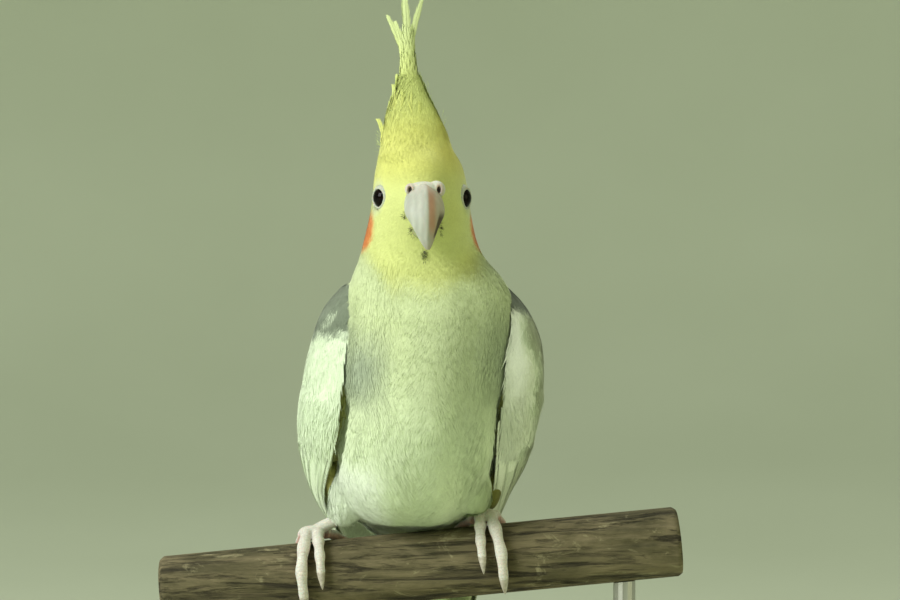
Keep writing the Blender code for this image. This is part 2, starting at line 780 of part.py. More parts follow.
def foot(side):
    """The bare shank and four toes round the perch, two forward and two back, and claws."""
    out = 1 if side == "left" else -1
    along = LEGS[side]["foot"]
    palm = perch_point(along, 0, PERCH_RADIUS + PERCH_TOP_GAP + PALM_RADIUS)
    path = leg_path(side)
    down = unit(path[-1] - path[-2])
    hem = path[-1] + down * GAP
    shank = tube(
        "foot_" + side,
        [hem, hem + down * SHANK_COLLAR, hem * 0.4 + palm * 0.6, palm],
        [TARSUS_RADIUS * share for share in SHANK_TAPER] + [PALM_RADIUS * 0.9],
        "foot_skin",
    )
    pieces = [ball("palm", palm, (*PALM_SIZE, PALM_RADIUS), "foot_skin", 10, 6)]
    for toe, (s0, s1, a0, a1, r0, r1, claw) in TOES.items():
        steps = [k / TOE_RINGS for k in range(TOE_RINGS + 1)]
        path, radii = [], []
        for f in steps:
            radius = r0 + (r1 - r0) * f
            knuckle = 1 + KNUCKLE_SWELL * math.cos(2 * math.pi * KNUCKLES * f)
            s = along + out * (s0 + (s1 - s0) * min(1.0, f / TOE_SPREAD_BY))
            a = a0 + (a1 - a0) * f
            radii.append(radius * knuckle)
            reach = PERCH_RADIUS + PERCH_TOP_GAP + radius * TOE_CLEARANCE
            path.append(perch_point(s, a, reach))
        pieces.append(tube("toe", path, radii, "foot_skin", TOE_SIDES))
        ahead = unit(path[-1] - path[-2])
        inward = unit(PERCH_MIDDLE + PERCH_ALONG * s - path[-1])
        start = path[-1] + ahead * GAP
        bend = [
            start + ahead * claw * g + inward * claw * CLAW_CURL * g * g for g in CLAW_STEPS
        ]
        widths = [r1 * w for w in CLAW_TAPER]
        tube("claw_" + side + "_" + toe, bend, widths, "claw_horn", 7)
    boolean(shank, pieces, "UNION", "MANIFOLD")
    boolean(shank, [body("cut", grow=GAP)], "DIFFERENCE", "MANIFOLD")


# Wings

def wing_section(side, t):
    """A section's front and back points, reach, front and back angles and thickness."""
    front_y, front_z, back_y, back_z, back, thick = smooth(WING_SECTIONS, t)
    ends = (front_y, front_z, back_y, back_z)
    reach, front = smooth(WING_REACH[side], t), smooth(WING_FRONT[side], t)
    return ends, float(reach), float(front), back, thick


def wing_point(side, t, degrees, depth=0.0):
    """A point on the wing's outer surface, or depth millimetres under it."""
    out = 1 if side == "left" else -1
    (front_y, front_z, back_y, back_z), reach, *_ = wing_section(side, t)
    middle = np.array([(front_y + back_y) / 2, (front_z + back_z) / 2])
    half = np.array([(back_y - front_y) / 2, (back_z - front_z) / 2])
    length = np.linalg.norm(half)
    a = math.radians(degrees)
    y, z = middle + half * (1 - depth / length) * math.sin(a)
    return np.array((out * (reach - depth) * math.cos(a), y, z))


def wing_ring(side, t, sunk=0.0):
    _, _, front, back, thick = wing_section(side, t)
    ring = []
    for k in range(WING_SIDES + 1):
        q = k / WING_SIDES
        ring.append(wing_point(side, t, front + (back - front) * q, sunk))
    for k in range(WING_SIDES - 1, 0, -1):
        q = k / WING_SIDES
        depth = thick * (4 * q * (1 - q)) ** 0.5
        depth = sunk + max(depth, WING_CORE_THINNEST)
        ring.append(wing_point(side, t, front + (back - front) * q, depth))
    return ring


def wing_vane(side, tier, place_across, rng):
    """One feather of a tier, lying down the wing with its lower edge under its neighbour."""
    start, end, spread, count, low, high, stagger = tier
    q0 = (place_across + 0.5) / count
    q1 = 0.5 + (q0 - 0.5) * spread
    end = end - stagger * place_across - VANE_END_VARY * rng.uniform(0, 1)
    path, across, widths = [], [], []
    for s, share in zip(VANE_STEPS, taper(VANE_STEPS, 1.0, VANE_ROOT, WING_VANE_TIP)):
        t = start + (end - start) * s
        _, _, front, back, _ = wing_section(side, t)
        step = (back - front) / count * (1 + (spread - 1) * s)
        degrees = front + (back - front) * (q0 + (q1 - q0) * s)
        depth = low + (high - low) * s**0.9
        here = wing_point(side, t, degrees, depth)
        ahead = wing_point(side, t, degrees + step, depth)
        inner = wing_point(side, t, degrees, depth + 1.0)
        spacing = np.linalg.norm(ahead - here)
        lateral, inward = unit(ahead - here), unit(inner - here)
        tilt = math.asin(min(0.5, VANE_CLEARANCE / spacing))
        path.append(here)
        across.append(lateral * math.cos(tilt) + inward * math.sin(tilt))
        widths.append((spacing / 2 + VANE_OVERLAP) * share)
    return vane(path, across, widths, VANE_THICKNESS, "wing_feathers")


def wing(side):
    """A folded wing: a thin core, with the coverts and flight feathers in tiers over it."""
    rng = np.random.default_rng(WING_SEED)
    steps = [WING_CORE_END * k / WING_CORE_RINGS for k in range(WING_CORE_RINGS + 1)]
    rings = [wing_ring(side, t, WING_CORE_DEPTH) for t in steps]
    made = loft("wing_" + side, rings, "wing_feathers")
    vanes = [wing_vane(side, tier, k, rng) for tier in WING_TIERS for k in range(tier[3])]
    boolean(made, vanes, "UNION", "MANIFOLD")
    for cutter in (body("cut", GAP), leg(side, GAP, "cut"), tail_core("cut", GAP)):
        boolean(made, [cutter], "DIFFERENCE", "MANIFOLD")


# Tail

TAIL_DOWN = np.array((0.0, math.cos(TAIL_SLOPE), -math.sin(TAIL_SLOPE)))
TAIL_OUT = np.array((0.0, math.sin(TAIL_SLOPE), math.cos(TAIL_SLOPE)))


def tail_core(name="tail", grow=0.0):
    """The root of the tail, from the torso's end back to where only feathers go on."""
    first = np.array(body_ring(len(BODY_SECTIONS) - 1, grow)) + TAIL_DOWN * (GAP - grow)
    back = first[np.argmax(first @ TAIL_OUT)]
    rings = [first]
    for along, width, depth, sink in TAIL_CORE:
        centre = back + TAIL_DOWN * along - TAIL_OUT * (depth + sink)
        ring = []
        for k in range(BODY_SIDES):
            a = 2 * math.pi * k / BODY_SIDES
            side = np.array(((width + grow) * math.cos(a), 0, 0))
            ring.append(centre + side + TAIL_OUT * (depth + grow) * math.sin(a))
        rings.append(ring)
    return loft(name, rings, "tail_feathers")


def tail_vane(x, slant, start, length, layer, lift, width):
    """A feather of the tail. layer is its depth under the tail's upper side, lift how far its
    tip rises over that, and slant turns it outwards."""
    first = np.array(body_ring(len(BODY_SECTIONS) - 1))
    back = first[np.argmax(first @ TAIL_OUT)] + TAIL_DOWN * start
    path, across = [], []
    for s in VANE_STEPS:
        along = length * s
        depth = layer - lift * s
        path.append(back + TAIL_DOWN * along - TAIL_OUT * depth + X_AXIS * (x + slant * along))
        across.append(X_AXIS - TAIL_OUT * TAIL_DROOP * math.copysign(1.0, x))
    widths = taper(VANE_STEPS, width, VANE_ROOT, *TAIL_VANE_TAPER)
    return vane(path, across, widths, VANE_THICKNESS, "tail_feathers")


def tail():
    """Twelve graduated feathers, the middle pair longest and on top, and their coverts."""
    made = tail_core()
    vanes = []
    for pair, length in enumerate(TAIL_LENGTHS):
        for side in (-1, 1):
            x = side * (TAIL_PAIR_OFFSET + TAIL_PAIR_STEP * pair)
            layer = TAIL_TOP_LAYER + TAIL_LAYER * (2 * pair + (side > 0))
            vanes.append(
                tail_vane(x, side * TAIL_SPREAD, 4.0, length, layer, 0.0, TAIL_HALF_WIDTH)
            )
    for k in range(TAIL_COVERTS):
        place_across = k - (TAIL_COVERTS - 1) / 2
        under = TAIL_COVERT_UNDER * (k % 2)
        for start, length, shorter, layer, lift, width in (UPPER_COVERT, UNDER_COVERT):
            length = length - shorter * abs(place_across)
            x = place_across * TAIL_COVERT_STEP
            vanes.append(tail_vane(x, 0.0, start, length, layer + under, lift, width))
    boolean(made, vanes, "UNION", "MANIFOLD")


# Crest

def crest_point(z, degrees, share):
    """A point on the bunch of crest feathers, and the directions out of it and round it."""
    levels = CREST_SECTIONS[:, 0]
    t = float(np.interp(z, levels, np.arange(len(levels))))
    _, x, y, half_x, half_y = smooth(CREST_SECTIONS, t)
    a = math.radians(degrees)
    out = unit((math.cos(a) / half_x, math.sin(a) / half_y, 0.0))
    point = np.array((x + share * half_x * math.cos(a), y + share * half_y * math.sin(a), z))
    return point, out, np.array((-out[1], out[0], 0.0))


def crest_feather(degrees, tip_z, share, width, flare, count, tip_x=None):
    """A feather on the bunch, no wider than its place among count feathers allows."""
    path, across, widths = [], [], []
    for s, narrowing in zip(CREST_STEPS, taper(CREST_STEPS, 1.0, *CREST_VANE_TAPER)):
        z = CREST_ROOT + (tip_z - CREST_ROOT) * s
        point, out, round_it = crest_point(z, degrees, share)
        spacing = np.linalg.norm(crest_point(z, degrees + 360 / count, share)[0] - point)
        point = point + out * flare * s**4
        if tip_x is not None and s > CREST_BEND_FROM:
            bend = ((s - CREST_BEND_FROM) / (1 - CREST_BEND_FROM)) ** 1.5
            point[0] += (tip_x - point[0]) * bend
        path.append(point)
        across.append(round_it)
        widths.append(min(width, spacing / 2 + CREST_OVERLAP) * narrowing)
    return vane(path, across, widths, VANE_THICKNESS, "crest_feathers")


def crest(crown, plane):
    """The raised crest, feather by feather: short ones outside and the long ones within."""
    rng = np.random.default_rng(CREST_SEED)
    feathers = []
    for count, first, tip_z, vary, share, width, flare in CREST_LAYERS:
        for k in range(count):
            degrees = first + 360 * k / count + rng.uniform(-CREST_VARY, CREST_VARY)
            height = tip_z + rng.uniform(-vary, vary)
            feathers.append(crest_feather(degrees, height, share, width, flare, count))
    for tip_x, tip_z, degrees in CREST_LONG:
        feathers.append(crest_feather(
            degrees, tip_z, CREST_LONG_SHARE, CREST_LONG_WIDTH, 0.0, len(CREST_LONG), tip_x
        ))
    boolean(crown, feathers, "UNION", "MANIFOLD")
    slab("crest", crown, [plane])
    remove(crown)


def main():
    for obj in list(bpy.data.objects):
        bpy.data.objects.remove(obj)
    whole = body("whole")
    planes = {}
    for key, (y, z, slope) in (("crown", CROWN_CUT), ("head", HEAD_CUT), ("neck", NECK_CUT)):
        planes[key] = ((0.0, y, z), np.array((0.0, -slope, 1.0)))
    crown = slab("crown", whole, [])
    crown.data.materials[0] = MATERIALS["crest_feathers"]
    crest(crown, planes["crown"])
    below = {key: (point, -normal) for key, (point, normal) in planes.items()}
    head = slab("head", whole, [below["crown"], planes["head"]])
    head.data.materials[0] = MATERIALS["face_feathers"]
    neck = slab("neck", whole, [below["head"], planes["neck"]])
    torso = slab("torso", whole, [below["neck"]])
    remove(whole)

    boolean(head, [lid(-1), lid(1)], "UNION")
    sockets = [eye("cut", side, grow=GAP) for side in (-1, 1)]
    boolean(head, sockets, "DIFFERENCE")
    boolean(head, [upper_bill("cut", GAP)], "DIFFERENCE")
    boolean(head, [lower_bill("cut", GAP)], "DIFFERENCE")
    boolean(head, [cere("cut", GAP)], "DIFFERENCE")
    eye("eye_right", -1)
    eye("eye_left", 1)
    upper_bill()
    boolean(lower_bill(), [upper_bill("cut", GAP)], "DIFFERENCE")
    boolean(cere(), [upper_bill("cut", GAP)], "DIFFERENCE")

    boolean(torso, [perch("cut", grow=PERCH_ROOM)], "DIFFERENCE")
    for side in ("right", "left"):
        made = leg(side)
        boolean(made, [body("cut", grow=GAP)], "DIFFERENCE")
        foot(side)
        wing(side)
    tail()
    perch()
    stand()
    for obj in bpy.context.scene.objects:
        simplify(obj)
        shade(obj)


main()
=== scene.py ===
"""The looks of a life-size cockatiel on a perch: skin, feathers, bill, eyes, feet and wood.

The bird faces -Y, its left side is at +X. Sizes are in millimetres and become metres where a
mesh is made. Bird sizes are measured from the perch: x across, y back from the perch's axis
and z up from the perch's top.
"""

import math

import bpy
import numpy as np
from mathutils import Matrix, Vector


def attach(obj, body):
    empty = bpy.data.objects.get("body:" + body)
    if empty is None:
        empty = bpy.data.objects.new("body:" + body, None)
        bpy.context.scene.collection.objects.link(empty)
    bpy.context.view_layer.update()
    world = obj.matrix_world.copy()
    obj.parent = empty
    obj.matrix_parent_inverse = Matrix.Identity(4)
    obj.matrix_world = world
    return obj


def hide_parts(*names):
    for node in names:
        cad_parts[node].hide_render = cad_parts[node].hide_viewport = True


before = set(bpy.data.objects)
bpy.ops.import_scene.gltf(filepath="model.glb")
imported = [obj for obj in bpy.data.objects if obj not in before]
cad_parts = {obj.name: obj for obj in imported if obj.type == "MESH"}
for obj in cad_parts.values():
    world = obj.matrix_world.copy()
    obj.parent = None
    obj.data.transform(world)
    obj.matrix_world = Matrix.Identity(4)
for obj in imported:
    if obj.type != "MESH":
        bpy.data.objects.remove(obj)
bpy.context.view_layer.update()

MM = 0.001
PERCH_Y = -27.0
PERCH_TOP = 171.0
SEED = 7

# Perch
PERCH_RADIUS = 11.3
PERCH_HALF_LENGTH = 84.0
PERCH_RISE = math.radians(5.5)
PERCH_TOP_GAP = 0.35

# Body sections from the crown to the root of the tail: front y and z, back y and z, half
# width, x of the middle.
BODY_SECTIONS = np.array([
    (-17.0, 124.6, -9.0, 124.9, 3.6, -0.6),
    (-22.8, 122.2, -2.5, 122.8, 10.4, -0.6),
    (-27.2, 118.6, 1.4, 119.2, 13.3, -0.4),
    (-29.6, 114.0, 4.7, 113.6, 14.7, -0.1),
    (-30.6, 107.5, 7.0, 106.0, 15.5, 0.2),
    (-30.2, 101.2, 8.2, 98.5, 16.7, 0.2),
    (-28.8, 95.0, 9.0, 91.5, 18.4, 0.2),
    (-28.0, 89.0, 10.2, 85.4, 20.8, 0.8),
    (-29.4, 82.5, 12.4, 79.6, 24.2, 2.0),
    (-32.4, 75.0, 15.6, 74.0, 26.3, 2.4),
    (-35.8, 66.0, 19.2, 68.0, 27.6, 2.0),
    (-38.2, 55.5, 22.6, 60.6, 28.0, 1.5),
    (-38.9, 44.5, 26.0, 52.0, 27.8, 1.0),
    (-36.8, 32.5, 29.6, 42.0, 27.8, 0.0),
    (-31.8, 21.5, 33.2, 31.0, 27.4, -1.6),
    (-23.6, 11.4, 36.2, 20.0, 25.6, -2.8),
    (-11.5, 4.5, 38.6, 9.0, 22.0, -3.4),
    (2.0, 1.3, 40.0, 1.5, 17.6, -3.2),
    (13.5, -3.2, 41.8, -4.6, 13.6, -2.6),
    (19.0, -13.0, 43.8, -10.2, 11.6, -2.2),
    (21.8, -24.0, 46.0, -15.4, 11.0, -2.0),
])
BODY_END = len(BODY_SECTIONS) - 1.0
HEAD_YAW = math.radians(5.0)
YAW_FULL_TO, YAW_NONE_FROM = 6.0, 10.0
HEAD_PIVOT_Y = -11.0
FACE_NARROWING = 0.24
FACE_TO, FACE_FROM = 5.0, 9.0

# The point midway between the eyes. Places on the head are measured from it: right as seen from
# the front, forward and up.
EYE_MIDDLE = (0.2, -16.0, 107.4)
EYE_RADIUS = 3.7
EYE_SIDE = 11.9
EYE_FACING = math.radians(61.0)
LID_RADIUS = 3.1

# Bill sections: inner forward and up, outer forward and up, half width.
UPPER_BILL = np.array([
    (8.0, -4.5, 12.5, 4.6, 5.4),
    (11.0, -6.4, 16.4, 3.4, 5.9),
    (13.8, -7.8, 19.8, 1.2, 6.1),
    (16.3, -8.6, 22.4, -2.2, 5.8),
    (18.2, -9.6, 24.0, -6.2, 4.8),
    (19.4, -11.4, 24.2, -10.0, 3.6),
    (20.2, -13.4, 23.6, -13.3, 2.5),
    (20.9, -15.4, 22.7, -15.6, 1.5),
    (21.5, -16.9, 21.9, -17.0, 0.6),
])
LOWER_BILL = np.array([
    (7.5, -11.2, 8.5, -6.0, 3.6),
    (11.5, -13.0, 12.5, -8.1, 3.5),
    (15.0, -13.6, 16.0, -9.6, 2.8),
    (17.2, -13.0, 17.8, -10.9, 1.7),
    (18.2, -12.3, 18.4, -11.8, 0.7),
])
BILL_ROOT = (0.0, 12.0, -2.0)

# Wings: front y and z, back y and z, angle of the back edge, thickness.
WING_SECTIONS = np.array([
    (-22.0, 80.5, 16.0, 81.0, 36.0, 7.0),
    (-29.0, 70.5, 21.0, 74.0, 45.0, 10.5),
    (-32.0, 58.0, 25.4, 65.0, 55.0, 11.0),
    (-31.5, 44.0, 29.6, 54.0, 64.0, 9.5),
    (-26.0, 30.0, 34.0, 42.0, 71.0, 8.0),
    (-15.0, 17.5, 38.7, 29.5, 76.0, 6.5),
    (0.0, 5.0, 43.4, 16.0, 79.0, 5.0),
    (16.0, -9.0, 48.4, 2.0, 80.0, 4.0),
    (29.5, -26.0, 54.4, -14.0, 80.0, 3.2),
    (44.5, -48.0, 63.6, -38.0, 78.0, 2.4),
    (58.5, -69.0, 71.0, -61.0, 72.0, 1.2),
])
WING_REACH = {
    "right": np.array([25.0, 32.0, 36.0, 38.9, 40.6, 40.4, 37.0, 30.0, 23.5, 17.5, 12.5]),
    "left": np.array([27.0, 34.8, 39.4, 40.3, 38.6, 36.0, 30.0, 24.8, 20.5, 16.0, 11.5]),
}
# Angle of each wing's front edge round its section.
WING_FRONT = {
    "right": np.array([-50, -50, -51, -52, -49, -41, -29, -22, -18, -12, 0.0]),
    "left": np.array([-24, -32, -44, -48, -47, -44, -36, -26, -18, -12, 0.0]),
}
OUTWARD = {"right": -1.0, "left": 1.0}

# The tail's slope, and the ways down along it and out from its back.
TAIL_SLOPE = math.radians(66.0)
TAIL_DOWN = np.array((0.0, math.cos(TAIL_SLOPE), -math.sin(TAIL_SLOPE)))
TAIL_OUT = np.array((0.0, math.sin(TAIL_SLOPE), math.cos(TAIL_SLOPE)))
# The tail's flesh: place along the tail, half width, half depth and how deep its middle lies.
TAIL_CORE = ((14.0, 10.6, 9.6, 0.4), (28.0, 8.6, 5.4, 1.2), (40.0, 6.0, 2.2, 3.2))
TAIL_LENGTHS = (139.7, 126.0, 112.0, 98.0, 86.0, 74.0)

# Crest: z, x and y of the bunch's middle, half width and half depth.
CREST_SECTIONS = np.array([
    (116.0, -0.8, -13.0, 8.4, 8.4),
    (122.5, -1.4, -13.2, 12.2, 10.6),
    (129.0, -2.0, -12.6, 10.6, 9.2),
    (135.0, -2.8, -11.4, 8.4, 7.6),
    (140.5, -3.0, -9.8, 5.6, 5.6),
    (146.0, -3.7, -7.8, 3.8, 4.2),
    (152.5, -4.1, -4.8, 3.2, 3.4),
    (160.0, -4.3, -1.4, 2.6, 2.6),
    (168.0, -4.6, 2.6, 2.4, 2.2),
    (176.0, -4.9, 7.0, 2.2, 2.0),
])

# Legs: hip, bend and hem of the feathered leg, and the foot's place along the perch.
LEGS = {
    "right": (((-16.0, -3.0, 27.0), (-22.5, 0.5, 13.5), (-26.6, 2.2, 4.2)), -34.4),
    "left": (((11.5, -4.0, 27.0), (15.6, -4.0, 15.8), (18.8, 0.2, 8.2)), 22.8),
}
LEG_RADII = (10.5, 8.0, 5.0)
# Toes: outward from the foot's middle at root and tip, degrees round the perch at root and tip,
# radius at root and tip, length of the claw.
TOES = {
    "outer_front": (1.2, 3.4, 4.0, 112.0, 2.1, 1.65, 6.5),
    "inner_front": (-2.2, -2.8, 6.0, 80.0, 1.95, 1.45, 5.2),
    "outer_back": (2.6, 6.0, -8.0, -108.0, 1.9, 1.5, 6.0),
    "inner_back": (-4.2, -10.0, -10.0, -62.0, 1.75, 1.35, 4.8),
}
PALM_RADIUS = 2.5
TARSUS_RADIUS = 2.0

# Colours, linear
CREAM = (0.66, 0.76, 0.42)
WHITE = (0.76, 0.88, 0.63)
# White of the bird's right thigh, lighter than the rest as painted light on the side the light
# comes from.
THIGH_WHITE_AND_LIGHT = (0.84, 0.93, 0.74)
YELLOW = (0.70, 0.76, 0.28)
FOREHEAD = (0.72, 0.73, 0.19)
CREST_YELLOW = (0.64, 0.72, 0.24)
# A deeper yellow painted as shade on the bird's left side of the neck, head and crest.
CREST_SHADE_YELLOW = (0.64, 0.61, 0.09)
CREST_PALE = (0.64, 0.76, 0.42)
TAIL_CREAM = (0.70, 0.76, 0.42)
ORANGE = (0.82, 0.24, 0.045)
# Grey of the smudges and the mantle, also used as painted shade in the grey spots on the bird's
# left.
SMUDGE_AND_SHADE_GREY = (0.36, 0.43, 0.30)
SHOULDER = (0.18, 0.22, 0.15)
EYE_SURROUND = (0.60, 0.66, 0.50)
# Dark corner of the mouth, partly a painted shadow of the bill.
MOUTH_AND_SHADOW = (0.10, 0.08, 0.04)
# Painted shade in the hollow between body and wing.
HOLLOW_SHADE = (0.36, 0.36, 0.07)
# Painted shade in the hollows beside the thighs.
FLANK_SHADE = (0.20, 0.20, 0.05)

MIDLINE_X = 0.5
# Where a colour or form begins and where it is full: places on the body, and for the last rows
# the distance from the bill's root, and shares of a leg's radius and sections down it.
FADES = {
    "front_y": (6.0, -14.0), "belly_z": (62.0, 30.0),
    "thigh_light_x": (-10.0, -18.0), "thigh_light_z": (32.0, 20.0),
    "bib_z": (76.0, 86.0), "forehead_z": (107.0, 116.0),
    "mantle_y": (-2.0, 12.0), "mantle_top_z": (104.0, 78.0), "mantle_low_z": (8.0, 30.0),
    "folds_z": (92.0, 70.0), "wing_front_z": (44.0, 54.0), "wing_flesh_x": (27.5, 29.5),
    "groove_top_z": (54.0, 44.0), "groove_low_z": (12.0, 30.0),
    "upward_z": (108.0, 114.0), "upward_y": (0.0, -10.0), "crest_coat_z": (114.0, 124.0),
    "crest_yellow_z": (122.0, 140.0), "crest_shade_x": (3.0, 10.0),
    "crest_shade_low_z": (112.0, 120.0), "crest_shade_top_z": (148.0, 130.0),
    "crest_pale_z": (140.0, 168.0), "crest_lean_z": (122.0, 134.0),
    "bill_flow": (28.0, 13.0), "on_leg": (1.35, 1.05), "down_leg": (0.35, 0.8),
}
BELLY_STRENGTH = 0.6
FOREHEAD_STRENGTH = 0.8
MANTLE_STRENGTH = 0.55
# The bib's lower edge rises by up to BIB_RISE outside BIB_HALF_WIDTH, and is wavy.
BIB_HALF_WIDTH, BIB_RISE, BIB_WAVE = 9.0, 12.0, 0.8
# Deeper yellow on the neck of the bird's left, which is painted shade, and grey patches of the
# breast: middle, half size and strength.
SHADE_YELLOW_SPOTS = (
    ((17.0, -26.0, 88.0), (9.0, 14.0, 9.0), 0.45),
    ((11.0, -27.0, 103.0), (6.0, 10.0, 12.0), 0.25),
)
# The first two grey patches are smudges of the plumage; the others lie on the bird's left and are
# painted shade, the one by the wing partly a grey patch too.
GREY_AND_SHADE_SPOTS = (
    ((-20.0, -30.0, 56.0), (18.0, 26.0, 20.0), 1.0),
    ((-25.0, -22.0, 69.0), (9.0, 17.0, 16.0), 0.85),
    ((28.0, -22.0, 58.0), (16.0, 24.0, 28.0), 0.85),
    ((16.0, -34.0, 38.0), (16.0, 16.0, 20.0), 0.35),
    ((17.0, -32.0, 60.0), (19.0, 22.0, 30.0), 0.45),
    ((3.0, -38.0, 58.0), (16.0, 16.0, 26.0), 0.22),
)
# Cheek and the skin round the eye: right, forward and up from between the eyes, half size and
# strength.
CHEEK = ((17.0, -6.2, -9.2), (7.5, 8.6, 8.2), 0.95)
EYE_PATCH = ((14.6, 0.8, 0.0), (6.0, 6.5, 6.5), 0.6)


# Numbers and places

def unit(v):
    v = np.asarray(v, float)
    return v / np.maximum(np.linalg.norm(v, axis=-1, keepdims=True), 1e-9)


def ease(x, low, high):
    """0 under low, 1 over high, smooth between. low may be the larger."""
    share = np.clip((np.asarray(x, float) - low) / (high - low), 0.0, 1.0)
    return share * share * (3 - 2 * share)


def fade(values, name):
    return ease(values, *FADES[name])


def curve(rows, t):
    """Rows read at t on a smooth curve through all of them."""
    rows = np.asarray(rows, float)
    rows = rows.reshape(len(rows), -1)
    t = np.clip(np.asarray(t, float), 0.0, len(rows) - 1.0)
    i = np.minimum(t.astype(int), len(rows) - 2)
    f = (t - i)[..., None]
    all_rows = np.vstack([2 * rows[0] - rows[1], rows, 2 * rows[-1] - rows[-2]])
    a, b, c, d = all_rows[i], all_rows[i + 1], all_rows[i + 2], all_rows[i + 3]
    return 0.5 * (
        2 * b + (c - a) * f + (2 * a - 5 * b + 4 * c - d) * f * f + (3 * b - a - 3 * c + d) * f**3
    )


def read_at(rows, t):
    """The columns of a table of rows, read at t on the curve through them."""
    return np.moveaxis(curve(rows, t), -1, 0)


def circle(count):
    return np.linspace(0, 2 * math.pi, count, endpoint=False)


def flattened(v, normals):
    """What is left of v along a surface."""
    return v - normals * np.sum(v * normals, -1, keepdims=True)


def distances(points, line):
    """From each point to each point of a line."""
    return np.linalg.norm(points[:, None] - line[None], axis=2)


def near_line(points, line):
    return distances(points, line).min(1)


def turned(points, yaw):
    """Points turned about the head's upright axis, towards the bird's left."""
    x, y, z = np.moveaxis(np.asarray(points, float), -1, 0)
    y = y - HEAD_PIVOT_Y
    return np.stack([
        x * np.cos(yaw) - y * np.sin(yaw), x * np.sin(yaw) + y * np.cos(yaw) + HEAD_PIVOT_Y, z
    ], -1)


def head_point(right, forward, up):
    """Points of the head, measured from the point midway between the eyes."""
    raw = np.stack(np.broadcast_arrays(
        EYE_MIDDLE[0] + np.asarray(right, float),
        EYE_MIDDLE[1] - np.asarray(forward, float),
        EYE_MIDDLE[2] + np.asarray(up, float),
    ), -1)
    return turned(raw, HEAD_YAW)


def body_point(t, a, grow=0.0):
    """Points on the body: t runs from the crown to the tail, a is the angle round it."""
    front_y, front_z, back_y, back_z, half_width, middle_x = read_at(BODY_SECTIONS, t)
    half_y, half_z = (back_y - front_y) / 2, (back_z - front_z) / 2
    stretch = (1 + grow / np.hypot(half_y, half_z)) * np.sin(a)
    narrowing = FACE_NARROWING * ease(t, FACE_FROM, FACE_TO)
    x = middle_x + (half_width + grow) * np.cos(a) * (1 + narrowing * np.sin(a))
    y = (front_y + back_y) / 2 + half_y * stretch
    z = (front_z + back_z) / 2 + half_z * stretch
    return turned(np.stack([x, y, z], -1), HEAD_YAW * ease(t, YAW_NONE_FROM, YAW_FULL_TO))


# Meshes

def place(points):
    """Bird millimetres to model metres."""
    return (np.asarray(points, float) + (0.0, PERCH_Y, PERCH_TOP)) * MM


def set_points(mesh, points):
    mesh.vertices.foreach_set("co", place(points).astype(np.float32).ravel())


def set_tint(mesh, colours, name="tint"):
    made = np.ones((len(mesh.vertices), 4), np.float32)
    made[:, :3] = colours
    layer = mesh.color_attributes.new(name, "FLOAT_COLOR", "POINT")
    layer.data.foreach_set("color", made.ravel())


def linked(name, data):
    """A new object in the scene."""
    made = bpy.data.objects.new(name, data)
    bpy.context.scene.collection.objects.link(made)
    return made


def dressed(obj, look, colours=None):
    """An object with its material, and the colours that the material reads."""
    if colours is not None:
        set_tint(obj.data, colours)
    obj.data.materials.append(look)
    return obj


def mesh_object(name, points, faces, tint=None, uv=None, normals=None):
    """An object from arrays. faces is an array of rows of equal length; tint is a colour and
    uv a place for each point; normals, where given, are those of the surface underneath."""
    points, faces = np.asarray(points, float), np.asarray(faces, np.int32)
    mesh = bpy.data.meshes.new(name)
    mesh.vertices.add(len(points))
    set_points(mesh, points)
    corners = faces.shape[1]
    mesh.loops.add(faces.size)
    mesh.loops.foreach_set("vertex_index", faces.ravel())
    mesh.polygons.add(len(faces))
    mesh.polygons.foreach_set("loop_start", np.arange(0, faces.size, corners, dtype=np.int32))
    mesh.update(calc_edges=True)
    mesh.shade_smooth()
    if uv is not None:
        layer = mesh.uv_layers.new(name="OFBake")
        layer.data.foreach_set("uv", np.asarray(uv, np.float32)[faces.ravel()].ravel())
    if tint is not None:
        set_tint(mesh, tint)
    if normals is not None:
        mesh.normals_split_custom_set_from_vertices(unit(normals).astype(np.float32))
    return linked(name, mesh)


def grid_faces(rows, columns, closed=False, start=0):
    """Quads of a grid of points, rows by columns; closed joins the last column to the first."""
    i = np.arange(rows - 1)[:, None] * columns
    j = np.arange(columns if closed else columns - 1)[None, :]
    k = (j + 1) % columns
    return (start + np.stack([i + j, i + k, i + columns + k, i + columns + j], -1)).reshape(-1, 4)


def loft_object(name, rings):
    """A closed body through rings of equal count, with a fan over each end."""
    rings = np.asarray(rings, float)
    rows, columns = rings.shape[:2]
    points = np.vstack([rings.reshape(-1, 3), rings[0].mean(0), rings[-1].mean(0)])
    first = np.arange(columns)
    after = (first + 1) % columns
    last = (rows - 1) * columns
    hub = np.full(columns, rows * columns)
    fans = np.vstack([
        np.stack([hub, after, first], -1), np.stack([hub + 1, last + first, last + after], -1)
    ])
    faces = grid_faces(rows, columns, closed=True).tolist() + fans.tolist()
    mesh = bpy.data.meshes.new(name)
    mesh.from_pydata(place(points).tolist(), [], faces)
    mesh.shade_smooth()
    return linked(name, mesh)


# Rings of a sweep start square to this direction, which no path follows.
SWEEP_UP = (0.13, 0.2, 0.97)


def sweep(path, radii, sides):
    """Round rings along a path, each with its own radius."""
    tangents = unit(np.gradient(path, axis=0))
    across = unit(np.cross(tangents[0], SWEEP_UP))
    angles = 2 * math.pi * np.arange(sides) / sides
    rings = []
    for point, tangent, radius in zip(path, tangents, radii):
        across = unit(across - tangent * (across @ tangent))
        over = np.cross(tangent, across)
        ring = np.cos(angles)[:, None] * across + np.sin(angles)[:, None] * over
        rings.append(point + ring * radius)
    return np.array(rings)


def join(name, objects):
    """One object of several."""
    with bpy.context.temp_override(
        active_object=objects[0], object=objects[0], selected_editable_objects=objects,
        selected_objects=objects,
    ):
        bpy.ops.object.join()
    objects[0].name = name
    return objects[0]


